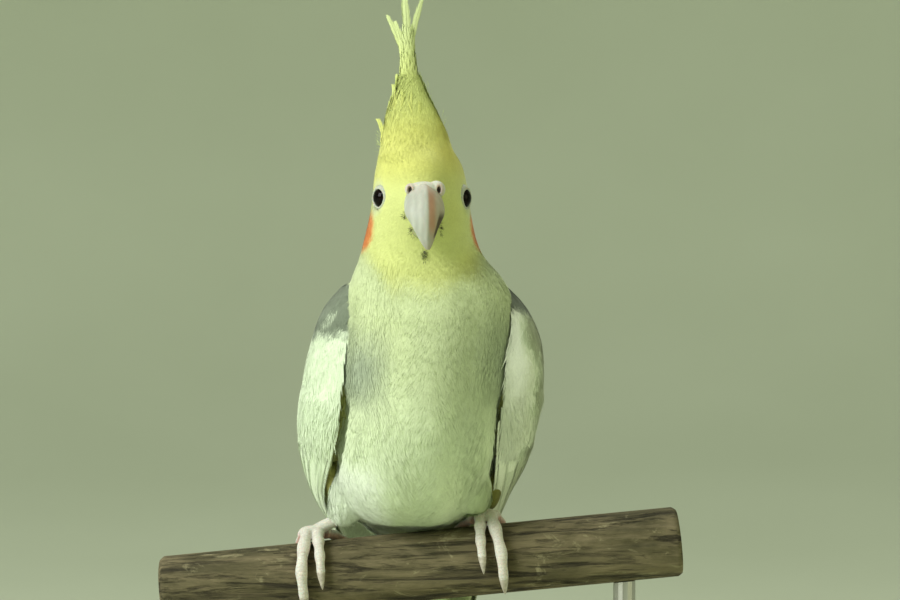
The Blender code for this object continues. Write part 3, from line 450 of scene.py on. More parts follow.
def applied(obj, kind, **settings):
    """Adds a modifier and makes its result the object's mesh."""
    step = obj.modifiers.new(kind.lower(), kind)
    for key, value in settings.items():
        setattr(step, key, value)
    graph = bpy.context.evaluated_depsgraph_get()
    mesh = bpy.data.meshes.new_from_object(obj.evaluated_get(graph))
    obj.modifiers.clear()
    obj.data = mesh
    return obj


def fused(name, objects, voxel, smoothing):
    """Closed bodies that overlap, made one smooth skin."""
    made = join(name, objects)
    applied(made, "REMESH", mode="VOXEL", voxel_size=voxel * MM)
    applied(made, "SMOOTH", factor=0.5, iterations=smoothing)
    made.data.shade_smooth()
    made.name = name
    return made


def bird_points(obj):
    """An object's points, back in bird millimetres."""
    raw = np.empty(len(obj.data.vertices) * 3, np.float32)
    obj.data.vertices.foreach_get("co", raw)
    return raw.reshape(-1, 3) / MM - (0.0, PERCH_Y, PERCH_TOP)


def vertex_normals(obj):
    normals = np.empty(len(obj.data.vertices) * 3, np.float32)
    obj.data.vertices.foreach_get("normal", normals)
    return normals.reshape(-1, 3)


def vertex_data(obj):
    """A mesh's points, normals and triangles as arrays."""
    mesh = obj.data
    mesh.calc_loop_triangles()
    triangles = np.empty(len(mesh.loop_triangles) * 3, np.int32)
    mesh.loop_triangles.foreach_get("vertices", triangles)
    return bird_points(obj), vertex_normals(obj).astype(float), triangles.reshape(-1, 3)


# Materials

# Most noise lies between these two values.
RAMP_LOW, RAMP_HIGH = 0.3, 0.7
# Barbs of a large feather: how much they slant, and how close they lie.
BARB_SLANT, BARB_CLOSENESS = 3.2, 15.0


class Look:
    """A material, with short ways to add and link its nodes."""

    def __init__(self, name, roughness=0.5, **constants):
        self.material = bpy.data.materials.new(name)
        self.material.use_nodes = True
        self.tree = self.material.node_tree
        self.shader = self.tree.nodes["Principled BSDF"]
        self.shader.inputs["Roughness"].default_value = roughness
        for key, value in constants.items():
            self.shader.inputs[key.replace("_", " ")].default_value = value

    def node(self, kind, settings=None, **inputs):
        made = self.tree.nodes.new("ShaderNode" + kind)
        for key, value in (settings or {}).items():
            setattr(made, key, value)
        for key, value in inputs.items():
            self.feed(made.inputs[key.replace("_", " ")], value)
        return made

    def feed(self, socket, value):
        if hasattr(value, "is_output"):
            self.tree.links.new(value, socket)
        else:
            socket.default_value = value

    def sums(self, operation, a, b=None):
        made = self.node("Math", {"operation": operation})
        self.feed(made.inputs[0], a)
        if b is not None:
            self.feed(made.inputs[1], b)
        return made.outputs[0]

    def stored(self, name="tint"):
        return self.node("Attribute", {"attribute_name": name}).outputs["Color"]

    def coordinates(self, stretch=(1.0, 1.0, 1.0), turn=(0.0, 0.0, 0.0)):
        source = self.node("TexCoord").outputs["Object"]
        mapping = self.node("Mapping", Vector=source, Scale=stretch, Rotation=turn)
        return mapping.outputs[0]

    def noise(self, scale, detail=4.0, roughness=0.55, vector=None, distortion=0.0):
        made = self.node("TexNoise", Scale=scale, Detail=detail, Roughness=roughness,
                         Distortion=distortion)
        self.feed(made.inputs["Vector"], vector or self.coordinates())
        return made.outputs[0]

    def ramp(self, value, stops):
        made = self.node("ValToRGB", Fac=value)
        made.color_ramp.elements[0].position, made.color_ramp.elements[0].color = stops[0]
        made.color_ramp.elements[1].position, made.color_ramp.elements[1].color = stops[-1]
        for position, colour in stops[1:-1]:
            made.color_ramp.elements.new(position).color = colour
        return made.outputs[0]

    def mix(self, kind, share, a, b):
        made = self.node("Mix", {"data_type": "RGBA", "blend_type": kind})
        self.feed(made.inputs["Factor"], share)
        self.feed(made.inputs[6], a)
        self.feed(made.inputs[7], b)
        return made.outputs[2]

    def shades(self, value, dark, light=1.0):
        """A grey that goes from dark to light with a value, to darken colours with."""
        return self.ramp(value, [(RAMP_LOW, grey(dark)), (RAMP_HIGH, grey(light))])

    def tones(self, value, dark, light):
        """A colour that goes from one to the other with a value."""
        return self.ramp(value, [(RAMP_LOW, (*dark, 1.0)), (RAMP_HIGH, (*light, 1.0))])

    def colour(self, value, *shades):
        for shade in shades:
            value = self.mix("MULTIPLY", 1.0, value, shade)
        self.feed(self.shader.inputs["Base Color"], value)

    def rough(self, value, low, high):
        made = self.node("MapRange", Value=value, To_Min=low, To_Max=high)
        self.feed(self.shader.inputs["Roughness"], made.outputs[0])

    def bump(self, height, distance, strength=0.5):
        made = self.node("Bump", Height=height, Distance=distance * MM, Strength=strength)
        self.feed(self.shader.inputs["Normal"], made.outputs[0])


def grey(value):
    return (value, value, value, 1.0)


def plumage_look(name, roughness=0.85):
    """Soft small feathers, coloured by the tint stored at each feather's root."""
    look = Look(name, roughness, Sheen_Weight=0.25, Sheen_Roughness=0.5, Specular_IOR_Level=0.15)
    patches = look.shades(look.noise(160.0, 3.0), 0.93)
    look.colour(look.stored(), patches, look.shades(look.noise(1500.0, 2.0), 0.94))
    return look.material


def vane_look(name):
    """Large feathers: barbs run out and forward from a pale shaft."""
    look = Look(name, 0.7, Sheen_Weight=0.15, Sheen_Roughness=0.4, Specular_IOR_Level=0.3)
    split = look.node("SeparateColor", Color=look.stored("barb"))
    across, along = split.outputs[0], split.outputs[1]
    slanted = look.sums("SUBTRACT", look.sums("MULTIPLY", along, BARB_SLANT), across)
    wave = look.sums("SINE", look.sums("MULTIPLY", slanted, BARB_CLOSENESS))
    lines = look.sums("ADD", look.sums("MULTIPLY", wave, 0.5), 0.5)
    shade = look.ramp(lines, [(0.0, grey(0.93)), (1.0, grey(1.0))])
    look.colour(look.stored(), shade, look.shades(look.noise(900.0, 2.0), 0.93))
    look.bump(lines, 0.03, 0.35)
    return look.material


def skin_look():
    look = Look("skin", 0.8, Specular_IOR_Level=0.2)
    look.colour(look.stored(), look.shades(look.noise(900.0, 4.0), 0.75, 0.95))
    return look.material


# Markings

def near(points, centre, size, firm=0.55):
    """1 within firm of a spot, easing to 0 at its edge; size is half its size along each axis."""
    away = np.linalg.norm((points - np.asarray(centre)) / np.asarray(size), axis=-1)
    return ease(away, 1.0, firm)


def blend_in(colours, other, share):
    return colours + (np.asarray(other) - colours) * share[..., None]


def markings(points):
    """The bird's colours at points of its body, in linear RGB, with painted light on its right
    thigh and painted shade on its left side.
    """
    x, y, z = np.moveaxis(points, -1, 0)
    colours = np.broadcast_to(np.asarray(CREAM), points.shape).copy()
    front = fade(y, "front_y")
    belly = fade(z, "belly_z") * front
    colours = blend_in(colours, WHITE, BELLY_STRENGTH * belly)
    # Painted light on the bird's right thigh.
    thigh = fade(x, "thigh_light_x") * fade(z, "thigh_light_z")
    colours = blend_in(colours, THIGH_WHITE_AND_LIGHT, thigh)
    rise = np.clip(np.abs(x - MIDLINE_X) - BIB_HALF_WIDTH, 0.0, BIB_RISE)
    bib = z - rise + BIB_WAVE * np.sin(x / 2.1)
    colours = blend_in(colours, YELLOW, fade(bib, "bib_z"))
    colours = blend_in(colours, FOREHEAD, fade(z, "forehead_z") * FOREHEAD_STRENGTH)
    mantle = fade(y, "mantle_y") * fade(z, "mantle_top_z") * fade(z, "mantle_low_z")
    colours = blend_in(colours, SMUDGE_AND_SHADE_GREY, MANTLE_STRENGTH * mantle)
    # Deeper yellow and grey spots: the yellow is painted shade, the grey partly smudges and partly
    # painted shade on the bird's left.
    for colour, spots in ((CREST_SHADE_YELLOW, SHADE_YELLOW_SPOTS), (SMUDGE_AND_SHADE_GREY, GREY_AND_SHADE_SPOTS)):
        for spot, size, share in spots:
            colours = blend_in(colours, colour, share * near(points, spot, size, 0.0))
    for side in (-1, 1):
        for colour, (spot, size, share) in ((ORANGE, CHEEK), (EYE_SURROUND, EYE_PATCH)):
            spot = head_point(side * spot[0], *spot[1:])
            colours = blend_in(colours, colour, share * near(points, spot, size))
    return colours


# Body feathers

def eye_centre(side):
    return head_point(side * EYE_SIDE, 0.0, 0.0)


def eye_direction(side):
    turn = side * EYE_FACING + HEAD_YAW
    return np.array((math.sin(turn), -math.cos(turn), 0.0))


def bare(points):
    """Where no feather grows: over the eyes and under the cere and bill."""
    gone = np.zeros(len(points), bool)
    for side in (-1, 1):
        away = points - eye_centre(side)
        along = away @ eye_direction(side)
        radial = np.linalg.norm(away - along[:, None] * eye_direction(side), axis=1)
        gone |= (radial < LID_RADIUS + 0.65) & (along > 0)
    right, forward, up = in_head(points).T
    across, over = BILL_GAP
    gone |= (forward > 8.0) & (np.hypot(right / across, (up - BILL_GAP_UP) / over) < 1.0)
    return gone


def in_head(points):
    """The other way round from head_point: right, forward and up of points."""
    local = turned(points, -HEAD_YAW) - EYE_MIDDLE
    return local * (1.0, -1.0, 1.0)


# Length of the feathers at each body section.
FEATHER_LENGTHS = np.array([
    3.2, 3.0, 2.8, 2.6, 2.5, 2.6, 3.0, 3.6, 4.4, 5.2, 5.8, 6.2, 6.6, 7.0, 7.4, 7.6, 7.6, 7.4, 7.4,
    7.6, 7.6,
])
LEG_FEATHER = 4.8
LEG_FLOW = (-0.02, 0.05, -1.0)
FEATHER_SPACING = 0.165
# Feathers near the bill are this share as long, within the first distance of its root, and
# whole from the second on.
BILL_FEATHER = 0.55
BILL_FEATHER_REACH = (8.0, 22.0)
COAT_DEPTH = 1.25
# Half size and height of the bare spot under the cere and bill.
BILL_GAP = (4.6, 5.6)
BILL_GAP_UP = -3.4
# Limits of how much a feather bends with the surface under it.
BEND_LIMITS = (-0.05, 0.12)
# Most triangles of small feathers in one piece.
PIECE_LIMIT = 190000
# The part of the body that each folded wing hides: how far out, and its reach back and up.
UNDER_WING_X, UNDER_WING_Y, UNDER_WING_Z = 23.0, (16.0, -8.0), (26.0, 62.0)
# Size of a feather on the feathers' map.
MAP_STEP = 0.0012
# Small feathers: how much shorter the outer barbs are, how far apart the barbs' roots lie as a
# share of the length, where a barb is widest, and how much of the room between barbs it fills.
OUTER_BARBS_SHORTER = 0.22
ROOT_SPREAD = 0.06
BARB_WIDEST = 0.55
BARB_FULLNESS = 1.3
# How light each barb is at its root, both sides of its widest point and its tip, and their places
# on the map: the darker root is painted shade, where it lies under the feathers over it.
BARB_LIGHT = np.array([0.92, 0.99, 0.99, 1.02])
BARB_MAP = np.array([(0.0, 0.0), (-0.3, 0.55), (0.3, 0.55), (0.0, 1.0)]) * MAP_STEP
# Voxel size in millimetres and rounds of smoothing for each fused body.
FLESH_GRAIN = (0.9, 22)
SKIN_GRAIN = (0.7, 6)
CERE_GRAIN = (0.16, 24)
FOOT_GRAIN = (0.32, 5)
# Soft hollows and folds of the plumage: direction, wavelength, depth.
FOLDS = (
    ((0.97, 0.2, 0.10), 19.0, 0.14),
    ((0.2, 0.3, 0.93), 26.0, 0.18),
)
# How far the breast's feathers rise over the front edge of each wing, and lean towards it; the
# wing's sections where they do, and the distances from its edge where that ends and is full.
WING_OVERLAP = 0.9
WING_PULL = 0.5
OVERLAP_SECTIONS = (0.2, 5.0)
PULL_REACH, OVERLAP_REACH = (6.5, 2.5), (18.0, 0.0)
# The hollow between the body and each wing: depth, the wing's sections where it is, and the
# distances from its edge where it ends and is full.
GROOVE_DEPTH = 1.6
GROOVE_SECTIONS = (2.6, 7.6)
GROOVE_REACH = (5.2, 2.0)


def leg_share(points):
    """1 on a feathered leg, 0 on the body, for either side, and how far down the leg."""
    best, place_on = np.full(len(points), 99.0), np.zeros(len(points))
    for rows, _ in LEGS.values():
        t = np.linspace(0.0, 2.0, 40)
        line = curve(np.array(rows), t)
        gaps = distances(points, line)
        nearest = gaps.argmin(1)
        gap = gaps.min(1) / np.interp(t[nearest], (0, 1, 2), LEG_RADII)
        place_on = np.where(gap < best, t[nearest], place_on)
        best = np.minimum(best, gap)
    return fade(best, "on_leg") * fade(place_on, "down_leg"), place_on


def section_place(points):
    """Each point's section number along the body and its angle round it."""
    t = np.linspace(0, BODY_END, 320)
    front_y, front_z, back_y, back_z, half_width, middle_x = read_at(BODY_SECTIONS, t)
    centre = np.stack([middle_x, (front_y + back_y) / 2, (front_z + back_z) / 2], -1)
    depth = np.stack([0 * t, back_y - front_y, back_z - front_z], -1)
    along = unit(np.cross((1.0, 0.0, 0.0), depth))
    off = np.abs(np.einsum("pj,tj->pt", points, along) - np.sum(centre * along, -1))
    off += 0.12 * distances(points, centre)
    nearest = off.argmin(1)
    local = points - centre[nearest]
    half = depth[nearest] / 2
    up = np.sum(local * half, -1) / np.sum(half * half, -1)
    angle = np.arctan2(up, local[:, 0] / half_width[nearest])
    return t[nearest], angle, -along[nearest]


def toward_wing(points):
    """From each point near a shoulder, the way to the wing's front edge, and how near it is,
    close by and from further off."""
    way, share, wide = np.zeros(points.shape), *np.zeros((2, len(points)))
    for side in ("right", "left"):
        t = np.linspace(*OVERLAP_SECTIONS, 60)
        front, _, _ = wing_edges(side, t)
        line = wing_point(side, t, front + 1.5, 0.0)
        gaps = distances(points, line)
        high = fade(points[:, 2], "wing_front_z")
        near_it = ease(gaps.min(1), *PULL_REACH) * high
        wide = np.maximum(wide, ease(gaps.min(1), *OVERLAP_REACH) * high)
        beyond = line[gaps.argmin(1)] - points
        closer = near_it > share
        way[closer], share[closer] = unit(beyond)[closer], near_it[closer]
    return way, share, wide


def fold(points):
    """How far the plumage swells or sinks at each point."""
    height = np.zeros(len(points))
    for direction, wavelength, depth in FOLDS:
        wave = points @ unit(direction) * 2 * math.pi / wavelength
        height += depth * np.sin(wave + 1.3 * np.sin(points @ unit((0.3, 0.5, 0.8)) / 11.0))
    return height * fade(points[:, 2], "folds_z")


def groove(points):
    """The hollow between the body and the front edge of each folded wing."""
    depth = np.zeros(len(points))
    for side in ("right", "left"):
        t = np.linspace(*GROOVE_SECTIONS, 60)
        front, _, _ = wing_edges(side, t)
        line = wing_point(side, t, front + 1.0, 3.0)
        near_it = ease(near_line(points, line), *GROOVE_REACH)
        reach = fade(points[:, 2], "groove_top_z") * fade(points[:, 2], "groove_low_z")
        depth = np.maximum(depth, near_it * reach)
    return GROOVE_DEPTH * depth


def shaped(points, normals):
    """Body points with the folds and hollows of the plumage."""
    on_leg, _ = leg_share(points)
    return points + normals * (fold(points) * (1 - on_leg) - groove(points))[:, None]


def bending(points, normals, triangles):
    """At each point, the matrix that turns a step along the surface into a change of normal."""
    edges = np.vstack([triangles[:, [0, 1]], triangles[:, [1, 2]], triangles[:, [2, 0]]])
    step = points[edges[:, 1]] - points[edges[:, 0]]
    change = normals[edges[:, 1]] - normals[edges[:, 0]]
    spread = np.einsum("ei,ej->eij", step, step)
    mixed = np.einsum("ei,ej->eij", change, step)
    total, both = np.zeros((len(points), 3, 3)), np.zeros((len(points), 3, 3))
    for end in (0, 1):
        np.add.at(total, edges[:, end], spread)
        np.add.at(both, edges[:, end], mixed)
    size = np.trace(total, axis1=1, axis2=2)[:, None, None]
    steady = total + np.einsum("pi,pj->pij", normals, normals) * size + np.eye(3) * size * 0.02
    return both @ np.linalg.inv(steady)


def body_flow(points, normals, along):
    """The lie of the feathers: back from the bill, up to the crest, then down the body."""
    away = points - head_point(*BILL_ROOT)
    share = fade(np.linalg.norm(away, axis=-1), "bill_flow")
    top = fade(points[:, 2], "upward_z") * fade(points[:, 1], "upward_y")
    share = np.maximum(share, top)[:, None]
    away = unit(away) + (0.0, 0.0, 0.5) * top[:, None]
    return flattened(along * (1 - share) + away * share, normals)


def barb_faces(count):
    """Two triangles for each barb: root, both sides of its widest point, tip."""
    first = 4 * np.arange(count)[:, None]
    return (first[:, None] + np.array([(0, 1, 2), (1, 3, 2)])[None]).reshape(-1, 3)


def scattered(weights, rng):
    """Numbers of rows, each picked about as often as its weight says."""
    total = np.cumsum(weights)
    count = int(total[-1])
    picks = np.searchsorted(total, (np.arange(count) + rng.random(count)) / count * total[-1])
    return np.minimum(picks, len(total) - 1)


def clipped_normal(rng, shape, limit=2.0):
    return np.clip(rng.normal(0, 1, shape), -limit, limit)


def barb_fans(points, normals, flow, bend, lengths, tints, uv, rng, blades=11, spread=24.0,
              lift=(-0.35, 0.20, 0.15), shade_by=0.02, ruffle=0.4, lean=0.0):
    """Small feathers as fans of barbs, spread over so many degrees to either side. lift is the
    height of a barb's root, middle and tip. Returns points, faces, tints, uv and normals."""
    count = len(points)
    flow = unit(flow)
    place_in = np.linspace(-1.0, 1.0, blades)[None, :]

    def vary(*shape):
        return clipped_normal(rng, shape)

    angle = np.radians(spread) * place_in + np.radians(4.0) * vary(count, blades)
    across = unit(np.cross(normals, flow))
    length = lengths[:, None] * (1 - OUTER_BARBS_SHORTER * place_in**2)
    length = length * (1 + 0.10 * vary(count, blades))
    direction = (
        np.cos(angle)[..., None] * flow[:, None] + np.sin(angle)[..., None] * across[:, None]
    )
    apart = across[:, None] * (place_in * ROOT_SPREAD)[..., None] * lengths[:, None, None]
    root = points[:, None] + apart
    half = BARB_FULLNESS * lengths[:, None] * np.radians(spread) / blades * BARB_WIDEST
    half = half * np.ones_like(angle)
    sideways = unit(np.cross(normals[:, None], direction))
    height = ruffle * (0.09 * vary(count, 1) + 0.04 * vary(count, blades))

    def at(share, out):
        reach = length * share
        sag = bend[:, None] * reach**2 / 2
        return (
            root + direction * reach[..., None]
            + normals[:, None] * (out + height * share - sag)[..., None]
        )

    middle = at(BARB_WIDEST, lift[1])
    corners = np.stack([
        at(0.0, lift[0]), middle - sideways * half[..., None], middle + sideways * half[..., None],
        at(1.0, lift[2] + 0.06 * rng.random((count, blades))),
    ], 2)
    shade = (1 + shade_by * vary(count, blades))[..., None, None]
    tints = tints[:, None, None, :] * shade * BARB_LIGHT[None, None, :, None]
    facing = (normals + 0.08 * flow + lean)[:, None]
    soft = facing + across[:, None] * (0.16 * place_in)[..., None]
    soft = np.broadcast_to(soft[:, :, None], corners.shape)
    uv = uv[:, None, None, :] + BARB_MAP + (place_in * 0.001)[..., None, None] * (1.0, 0.0)
    return (
        corners.reshape(-1, 3), barb_faces(count * blades), np.clip(tints, 0, 1).reshape(-1, 3),
        uv.reshape(-1, 2), soft.reshape(-1, 3),
    )


def in_pieces(name, parts, look):
    """Splits a long list of feathers into pieces that aren't too large."""
    points, faces, tints, uv, normals = parts
    pieces = max(1, math.ceil(len(faces) / PIECE_LIMIT))
    per = math.ceil(len(faces) / pieces / 2) * 2
    made = []
    for k in range(pieces):
        chosen = faces[k * per:(k + 1) * per]
        low, high = chosen.min(), chosen.max() + 1
        chosen_rows = (rows[low:high] for rows in (tints, uv, normals))
        piece = mesh_object(f"{name}_{k + 1}", points[low:high], chosen - low, *chosen_rows)
        made.append(dressed(piece, look))
    return made


def under_wing(points):
    """Under the middle of a folded wing, where feathers never show."""
    x, y, z = points.T
    (back, front), (low, high) = UNDER_WING_Y, UNDER_WING_Z
    inside = (z > low) & (z < high) & (y > front) & (y < back)
    return inside & (np.abs(x - MIDLINE_X) > UNDER_WING_X)


def coat_spots(rng):
    """Roots of the small feathers, spread over body and legs: points, normals, directions,
    bend, lengths and map places."""
    parts = [body_core("flesh_body", COAT_DEPTH), leg_core("right"), leg_core("left")]
    parts.append(crest_loft("flesh_crest", *CREST_FLESH))
    flesh = fused("flesh", parts, *FLESH_GRAIN)
    points, normals, triangles = vertex_data(flesh)
    bpy.data.objects.remove(flesh)
    points = shaped(points, normals)
    way, at_wing, near_wing = toward_wing(points)
    points = points + normals * WING_OVERLAP * near_wing[:, None]
    t, angle, along = section_place(points)
    on_leg, leg_t = leg_share(points)
    lengths = np.interp(t, np.arange(len(FEATHER_LENGTHS)), FEATHER_LENGTHS)
    bill = ease(np.linalg.norm(points - head_point(*BILL_ROOT), axis=-1), *BILL_FEATHER_REACH)
    lengths = lengths * (BILL_FEATHER + (1 - BILL_FEATHER) * bill)
    lengths = lengths * (1 - on_leg) + LEG_FEATHER * on_leg
    in_crest = fade(points[:, 2], "crest_coat_z")
    lengths += (np.interp(points[:, 2], *CREST_FEATHER) - lengths) * in_crest
    flow = body_flow(points, normals, along) * (1 - on_leg[:, None])
    flow = blend_in(flow + unit(LEG_FLOW) * on_leg[:, None], (0.0, 0.0, 1.0), in_crest)
    flow = unit(flattened(unit(flow) + way * WING_PULL * at_wing[:, None], normals))
    shape = bending(points, normals, triangles)
    bend = np.clip(np.einsum("pi,pij,pj->p", flow, shape, flow), *BEND_LIMITS)
    bend = bend * (1 - at_wing) - 0.02 * at_wing
    down_map = (1 - t / BODY_END) * 0.88 * (1 - on_leg) + 0.1 - 0.045 * on_leg * leg_t
    uv = np.stack([(angle / (2 * math.pi)) % 1.0, down_map], -1) * 0.98 + 0.01

    a, b, c = (points[triangles[:, k]] for k in range(3))
    area = np.linalg.norm(np.cross(b - a, c - a), axis=1) / 2
    density = area / (FEATHER_SPACING * lengths[triangles[:, 0]]) ** 2
    ends = (t[triangles[:, 0]] > BODY_END - 0.3) | (a[:, 2] > CREST_COAT_TOP)
    density[bare(a) | under_wing(a) | ends] = 0.0
    picks = triangles[scattered(density, rng)]
    r = rng.random((2, len(picks)))
    r = np.where(r.sum(0) > 1, 1 - r, r)
    share = np.stack([1 - r.sum(0), r[0], r[1]], -1)

    def blend(values):
        values = values[picks]
        return np.sum(values * share.reshape(share.shape + (1,) * (values.ndim - 2)), 1)

    spots = [blend(points), unit(blend(normals)), blend(flow), blend(bend), blend(lengths)]
    spots.append(uv[picks[:, 0]])
    keep = ~bare(spots[0])
    return [v[keep] for v in spots]


def body_coat(look, rng):
    points, normals, flow, bend, lengths, uv = coat_spots(rng)
    vary = rng.normal(0, 1, (4, len(points)))
    flow = unit(unit(flow) + np.cross(normals, flow) * 0.09 * vary[0][:, None])
    lengths = lengths * (1 + 0.08 * np.clip(vary[1], -2, 2))
    tints = crest_colours(points) * (1 + 0.014 * vary[2][:, None])
    order = np.argsort(-points[:, 2], kind="stable")
    raised = points + normals * (COAT_DEPTH - 0.55)
    ahead = fade(points[:, 2], "crest_lean_z") * np.clip(1 - 2 * normals[:, 1].clip(0), 0, 1)
    lean = ahead[:, None] * CREST_LEAN
    chosen = [v[order] for v in (raised, normals, flow, bend, lengths, tints, uv)]
    return in_pieces("coat_body", barb_fans(*chosen, rng, lean=lean[order]), look)


# Added to the normals of the crest's small feathers, which are shaded as if they faced ahead.
CREST_LEAN = np.array((0.0, -0.8, 0.0))
# Dark bristles round the bill; the clump under its tip and the row beside it on the bird's left are
# partly painted shade of the bill: number, then right, forward and up from between the eyes for
# their middle, its spread and their direction, and length.
DARK_BRISTLES_AND_SHADE = (
    (50, (-0.1, 11.3, -17.8), (0.7, 0.2, 1.3), (-0.2, 0.8, -0.6), 2.2),
    (18, (-6.1, 11.6, -6.0), (0.8, 0.3, 0.8), (-0.8, 0.5, -0.5), 1.8),
    (16, (-3.9, 12.3, -10.8), (0.5, 0.3, 1.2), (-0.8, 0.5, -0.5), 1.8),
    (24, (4.5, 11.8, -9.9), (0.4, 0.3, 1.8), (0.8, 0.5, -0.3), 1.6),
)
BRISTLE_AND_SHADE_DARK = (0.10, 0.11, 0.05)


def head_direction(right, forward, up):
    return unit(head_point(right, forward, up) - head_point(0.0, 0.0, 0.0))


def bristles(name, groups, tint, look, rng, loose, **fan):
    """Thin feathers of one colour in groups: bristles round the bill, hairs of the crest."""
    points, flow, lengths, tints = [], [], [], []
    for count, middle, spread, direction, length in groups:
        local = np.asarray(middle) + np.clip(rng.normal(0, 0.6, (count, 3)), -1.6, 1.6) * spread
        points.append(head_point(*local.T))
        way = head_direction(*direction) + loose * rng.normal(0, 0.6, (count, 3))
        flow.append(unit(way + 0.12 * (points[-1] - head_point(*middle))))
        lengths.append(length * rng.uniform(0.75, 1.15, count))
        tints.append(np.broadcast_to(tint, (count, 3)) * rng.uniform(0.95, 1.04, (count, 1)))
    points, flow, lengths, tints = (
        np.concatenate(rows) for rows in (points, flow, lengths, tints)
    )
    facing = unit(points - head_point(0.0, -2.0, -4.0))
    normals = unit(flattened(facing, flow))
    uv = np.stack([0.75 + points[:, 0] / 200.0, 0.9 + (points[:, 2] - 105.0) / 400.0], -1)
    bend = np.full(len(points), 0.06)
    return in_pieces(name, barb_fans(
        points, normals, flow, bend, lengths, tints, uv, rng, lift=(-0.1, 0.1, 0.05), **fan
    ), look)


# Skin

def leg_core(side, inset=0.0):
    """A feathered leg's flesh, so far inside its feathers' roots."""
    rows = np.array(LEGS[side][0])
    t = np.linspace(0.0, 2.0, 24)
    a = circle(28)
    middle = curve(rows, t)
    ahead = unit(np.gradient(middle, axis=0))
    across = unit(np.cross(ahead, (0.0, 1.0, 0.0)))
    over = np.cross(ahead, across)
    radius = curve(np.array(LEG_RADII), t)[:, :, None] - COAT_DEPTH - inset
    ring = np.cos(a)[None, :, None] * across[:, None] + np.sin(a)[None, :, None] * over[:, None]
    return loft_object("leg_core", middle[:, None] + radius * ring)


def body_core(name, inset):
    t, a = np.meshgrid(np.linspace(0, BODY_END, 150), circle(90), indexing="ij")
    return loft_object(name, body_point(t, a, -inset))


def wing_point(side, t, degrees, depth=0.0):
    """Points on a wing's outer surface, or depth millimetres under it."""
    front_y, front_z, back_y, back_z = read_at(WING_SECTIONS[:, :4], t)
    reach = curve(WING_REACH[side], t)[..., 0]
    half_y, half_z = (back_y - front_y) / 2, (back_z - front_z) / 2
    length = np.hypot(half_y, half_z)
    a = np.radians(degrees)
    share = (1 - depth / length) * np.sin(a)
    return np.stack([
        OUTWARD[side] * (reach - depth) * np.cos(a),
        (front_y + back_y) / 2 + half_y * share,
        (front_z + back_z) / 2 + half_z * share,
    ], -1)


def wing_edges(side, t):
    """Angles of a wing's front and back edges, and its thickness."""
    front = curve(WING_FRONT[side], t)[..., 0]
    return (front, *read_at(WING_SECTIONS[:, 4:], t))


# The wings' flesh: depth under the feathers, and the section where it ends.
WING_CORE_DEPTH = 1.9
WING_CORE_END = 8.6


def wing_core(side):
    rings, depth = [], WING_CORE_DEPTH
    for t in np.linspace(0, WING_CORE_END, 44):
        front, back, thick = wing_edges(side, t)
        q = np.linspace(0, 1, 24)
        outer = wing_point(side, t, front + (back - front) * q, depth)
        under = depth + np.maximum(thick * np.sqrt(np.clip(4 * q * (1 - q), 0, 1)), 0.6)
        inner = wing_point(side, t, front + (back - front) * q, under)
        rings.append(np.vstack([outer, inner[-2:0:-1]]))
    return loft_object("wing_core", rings)


# Share of the tail's thickness that its flesh takes.
TAIL_CORE_SHARE = 0.94


def tail_core():
    sides, steps = 48, 24
    a = circle(sides)
    back = body_point(BODY_END, math.pi / 2)
    rings = [body_point(np.full(sides, BODY_END), a, -0.8)]
    for along, width, depth, sink in TAIL_CORE:
        centre = back + TAIL_DOWN * along - TAIL_OUT * (depth + sink)
        over = np.sin(a)[:, None] * TAIL_OUT * depth * TAIL_CORE_SHARE
        rings.append(centre + np.cos(a)[:, None] * (width * TAIL_CORE_SHARE, 0, 0) + over)
    fine = curve(rings, np.linspace(0, len(rings) - 1, steps))
    return loft_object("tail_core", fine.reshape(steps, sides, 3))


def crest_loft(name, levels, shares):
    """The middle of the bunch of crest feathers, at a share of its width at each level."""
    z = np.linspace(levels[0], levels[-1], 40)
    turns = np.linspace(0, 360, 40, endpoint=False)
    return loft_object(name, [
        crest_point(np.full(40, level), turns, share)[0]
        for level, share in zip(z, np.interp(z, levels, shares))
    ])


# Flesh in the hollow between each thigh and wing: middle and half size. The painted shade on it
# reaches further than its half size by this factor.
FLANKS = (((-27.0, 7.0, 19.0), (4.5, 10.0, 12.0)), ((22.5, 8.0, 18.0), (4.5, 9.0, 12.0)))
FLANK_SHADE_REACH = 1.4
# Dark corner of the mouth on the bird's left only, partly a painted shadow of the bill, measured
# from between the eyes: middle and half size.
GAPE = ((4.4, 13.0, -8.0), (1.0, 6.0, 3.5))


def skin(look):
    """One skin under all the feathers, from the crown to the tail and over both wings."""
    parts = [body_core("body_core", COAT_DEPTH + 0.3), tail_core()]
    for side in ("right", "left"):
        parts += [leg_core(side, 0.6), wing_core(side)]
    parts.append(crest_loft("crest_core", *CREST_CORE))
    parts += [loft_object("flank", ball(*shape)) for shape in FLANKS]
    made = fused("skin", parts, *SKIN_GRAIN)
    points, normals, _ = vertex_data(made)
    wings = fade(np.abs(points[:, 0] - MIDLINE_X), "wing_flesh_x")
    flank_shade = np.max([
        near(points, middle, np.multiply(size, FLANK_SHADE_REACH), 0.8) for middle, size in FLANKS
    ], axis=0)
    points = points - normals * (groove(points) * (1 - wings))[:, None]
    set_points(made.data, points)
    # The wings' flesh is whitened half way to the hollow's painted shade.
    colours = blend_in(markings(points), np.add(WHITE, HOLLOW_SHADE) / 2, wings) * 0.92
    # Dark mouth corner and painted shadow of the bill.
    colours = blend_in(colours, MOUTH_AND_SHADOW, near(points, head_point(*GAPE[0]), GAPE[1]))
    # Painted shade in the groove by each wing.
    hollow = groove(points) / GROOVE_DEPTH * (1 - wings)
    colours = blend_in(colours, HOLLOW_SHADE, ease(hollow, 0.05, 0.5) * 0.8)
    # Painted shade in the hollow beside each thigh.
    return dressed(made, look, blend_in(colours, FLANK_SHADE, flank_shade))


# Large feathers

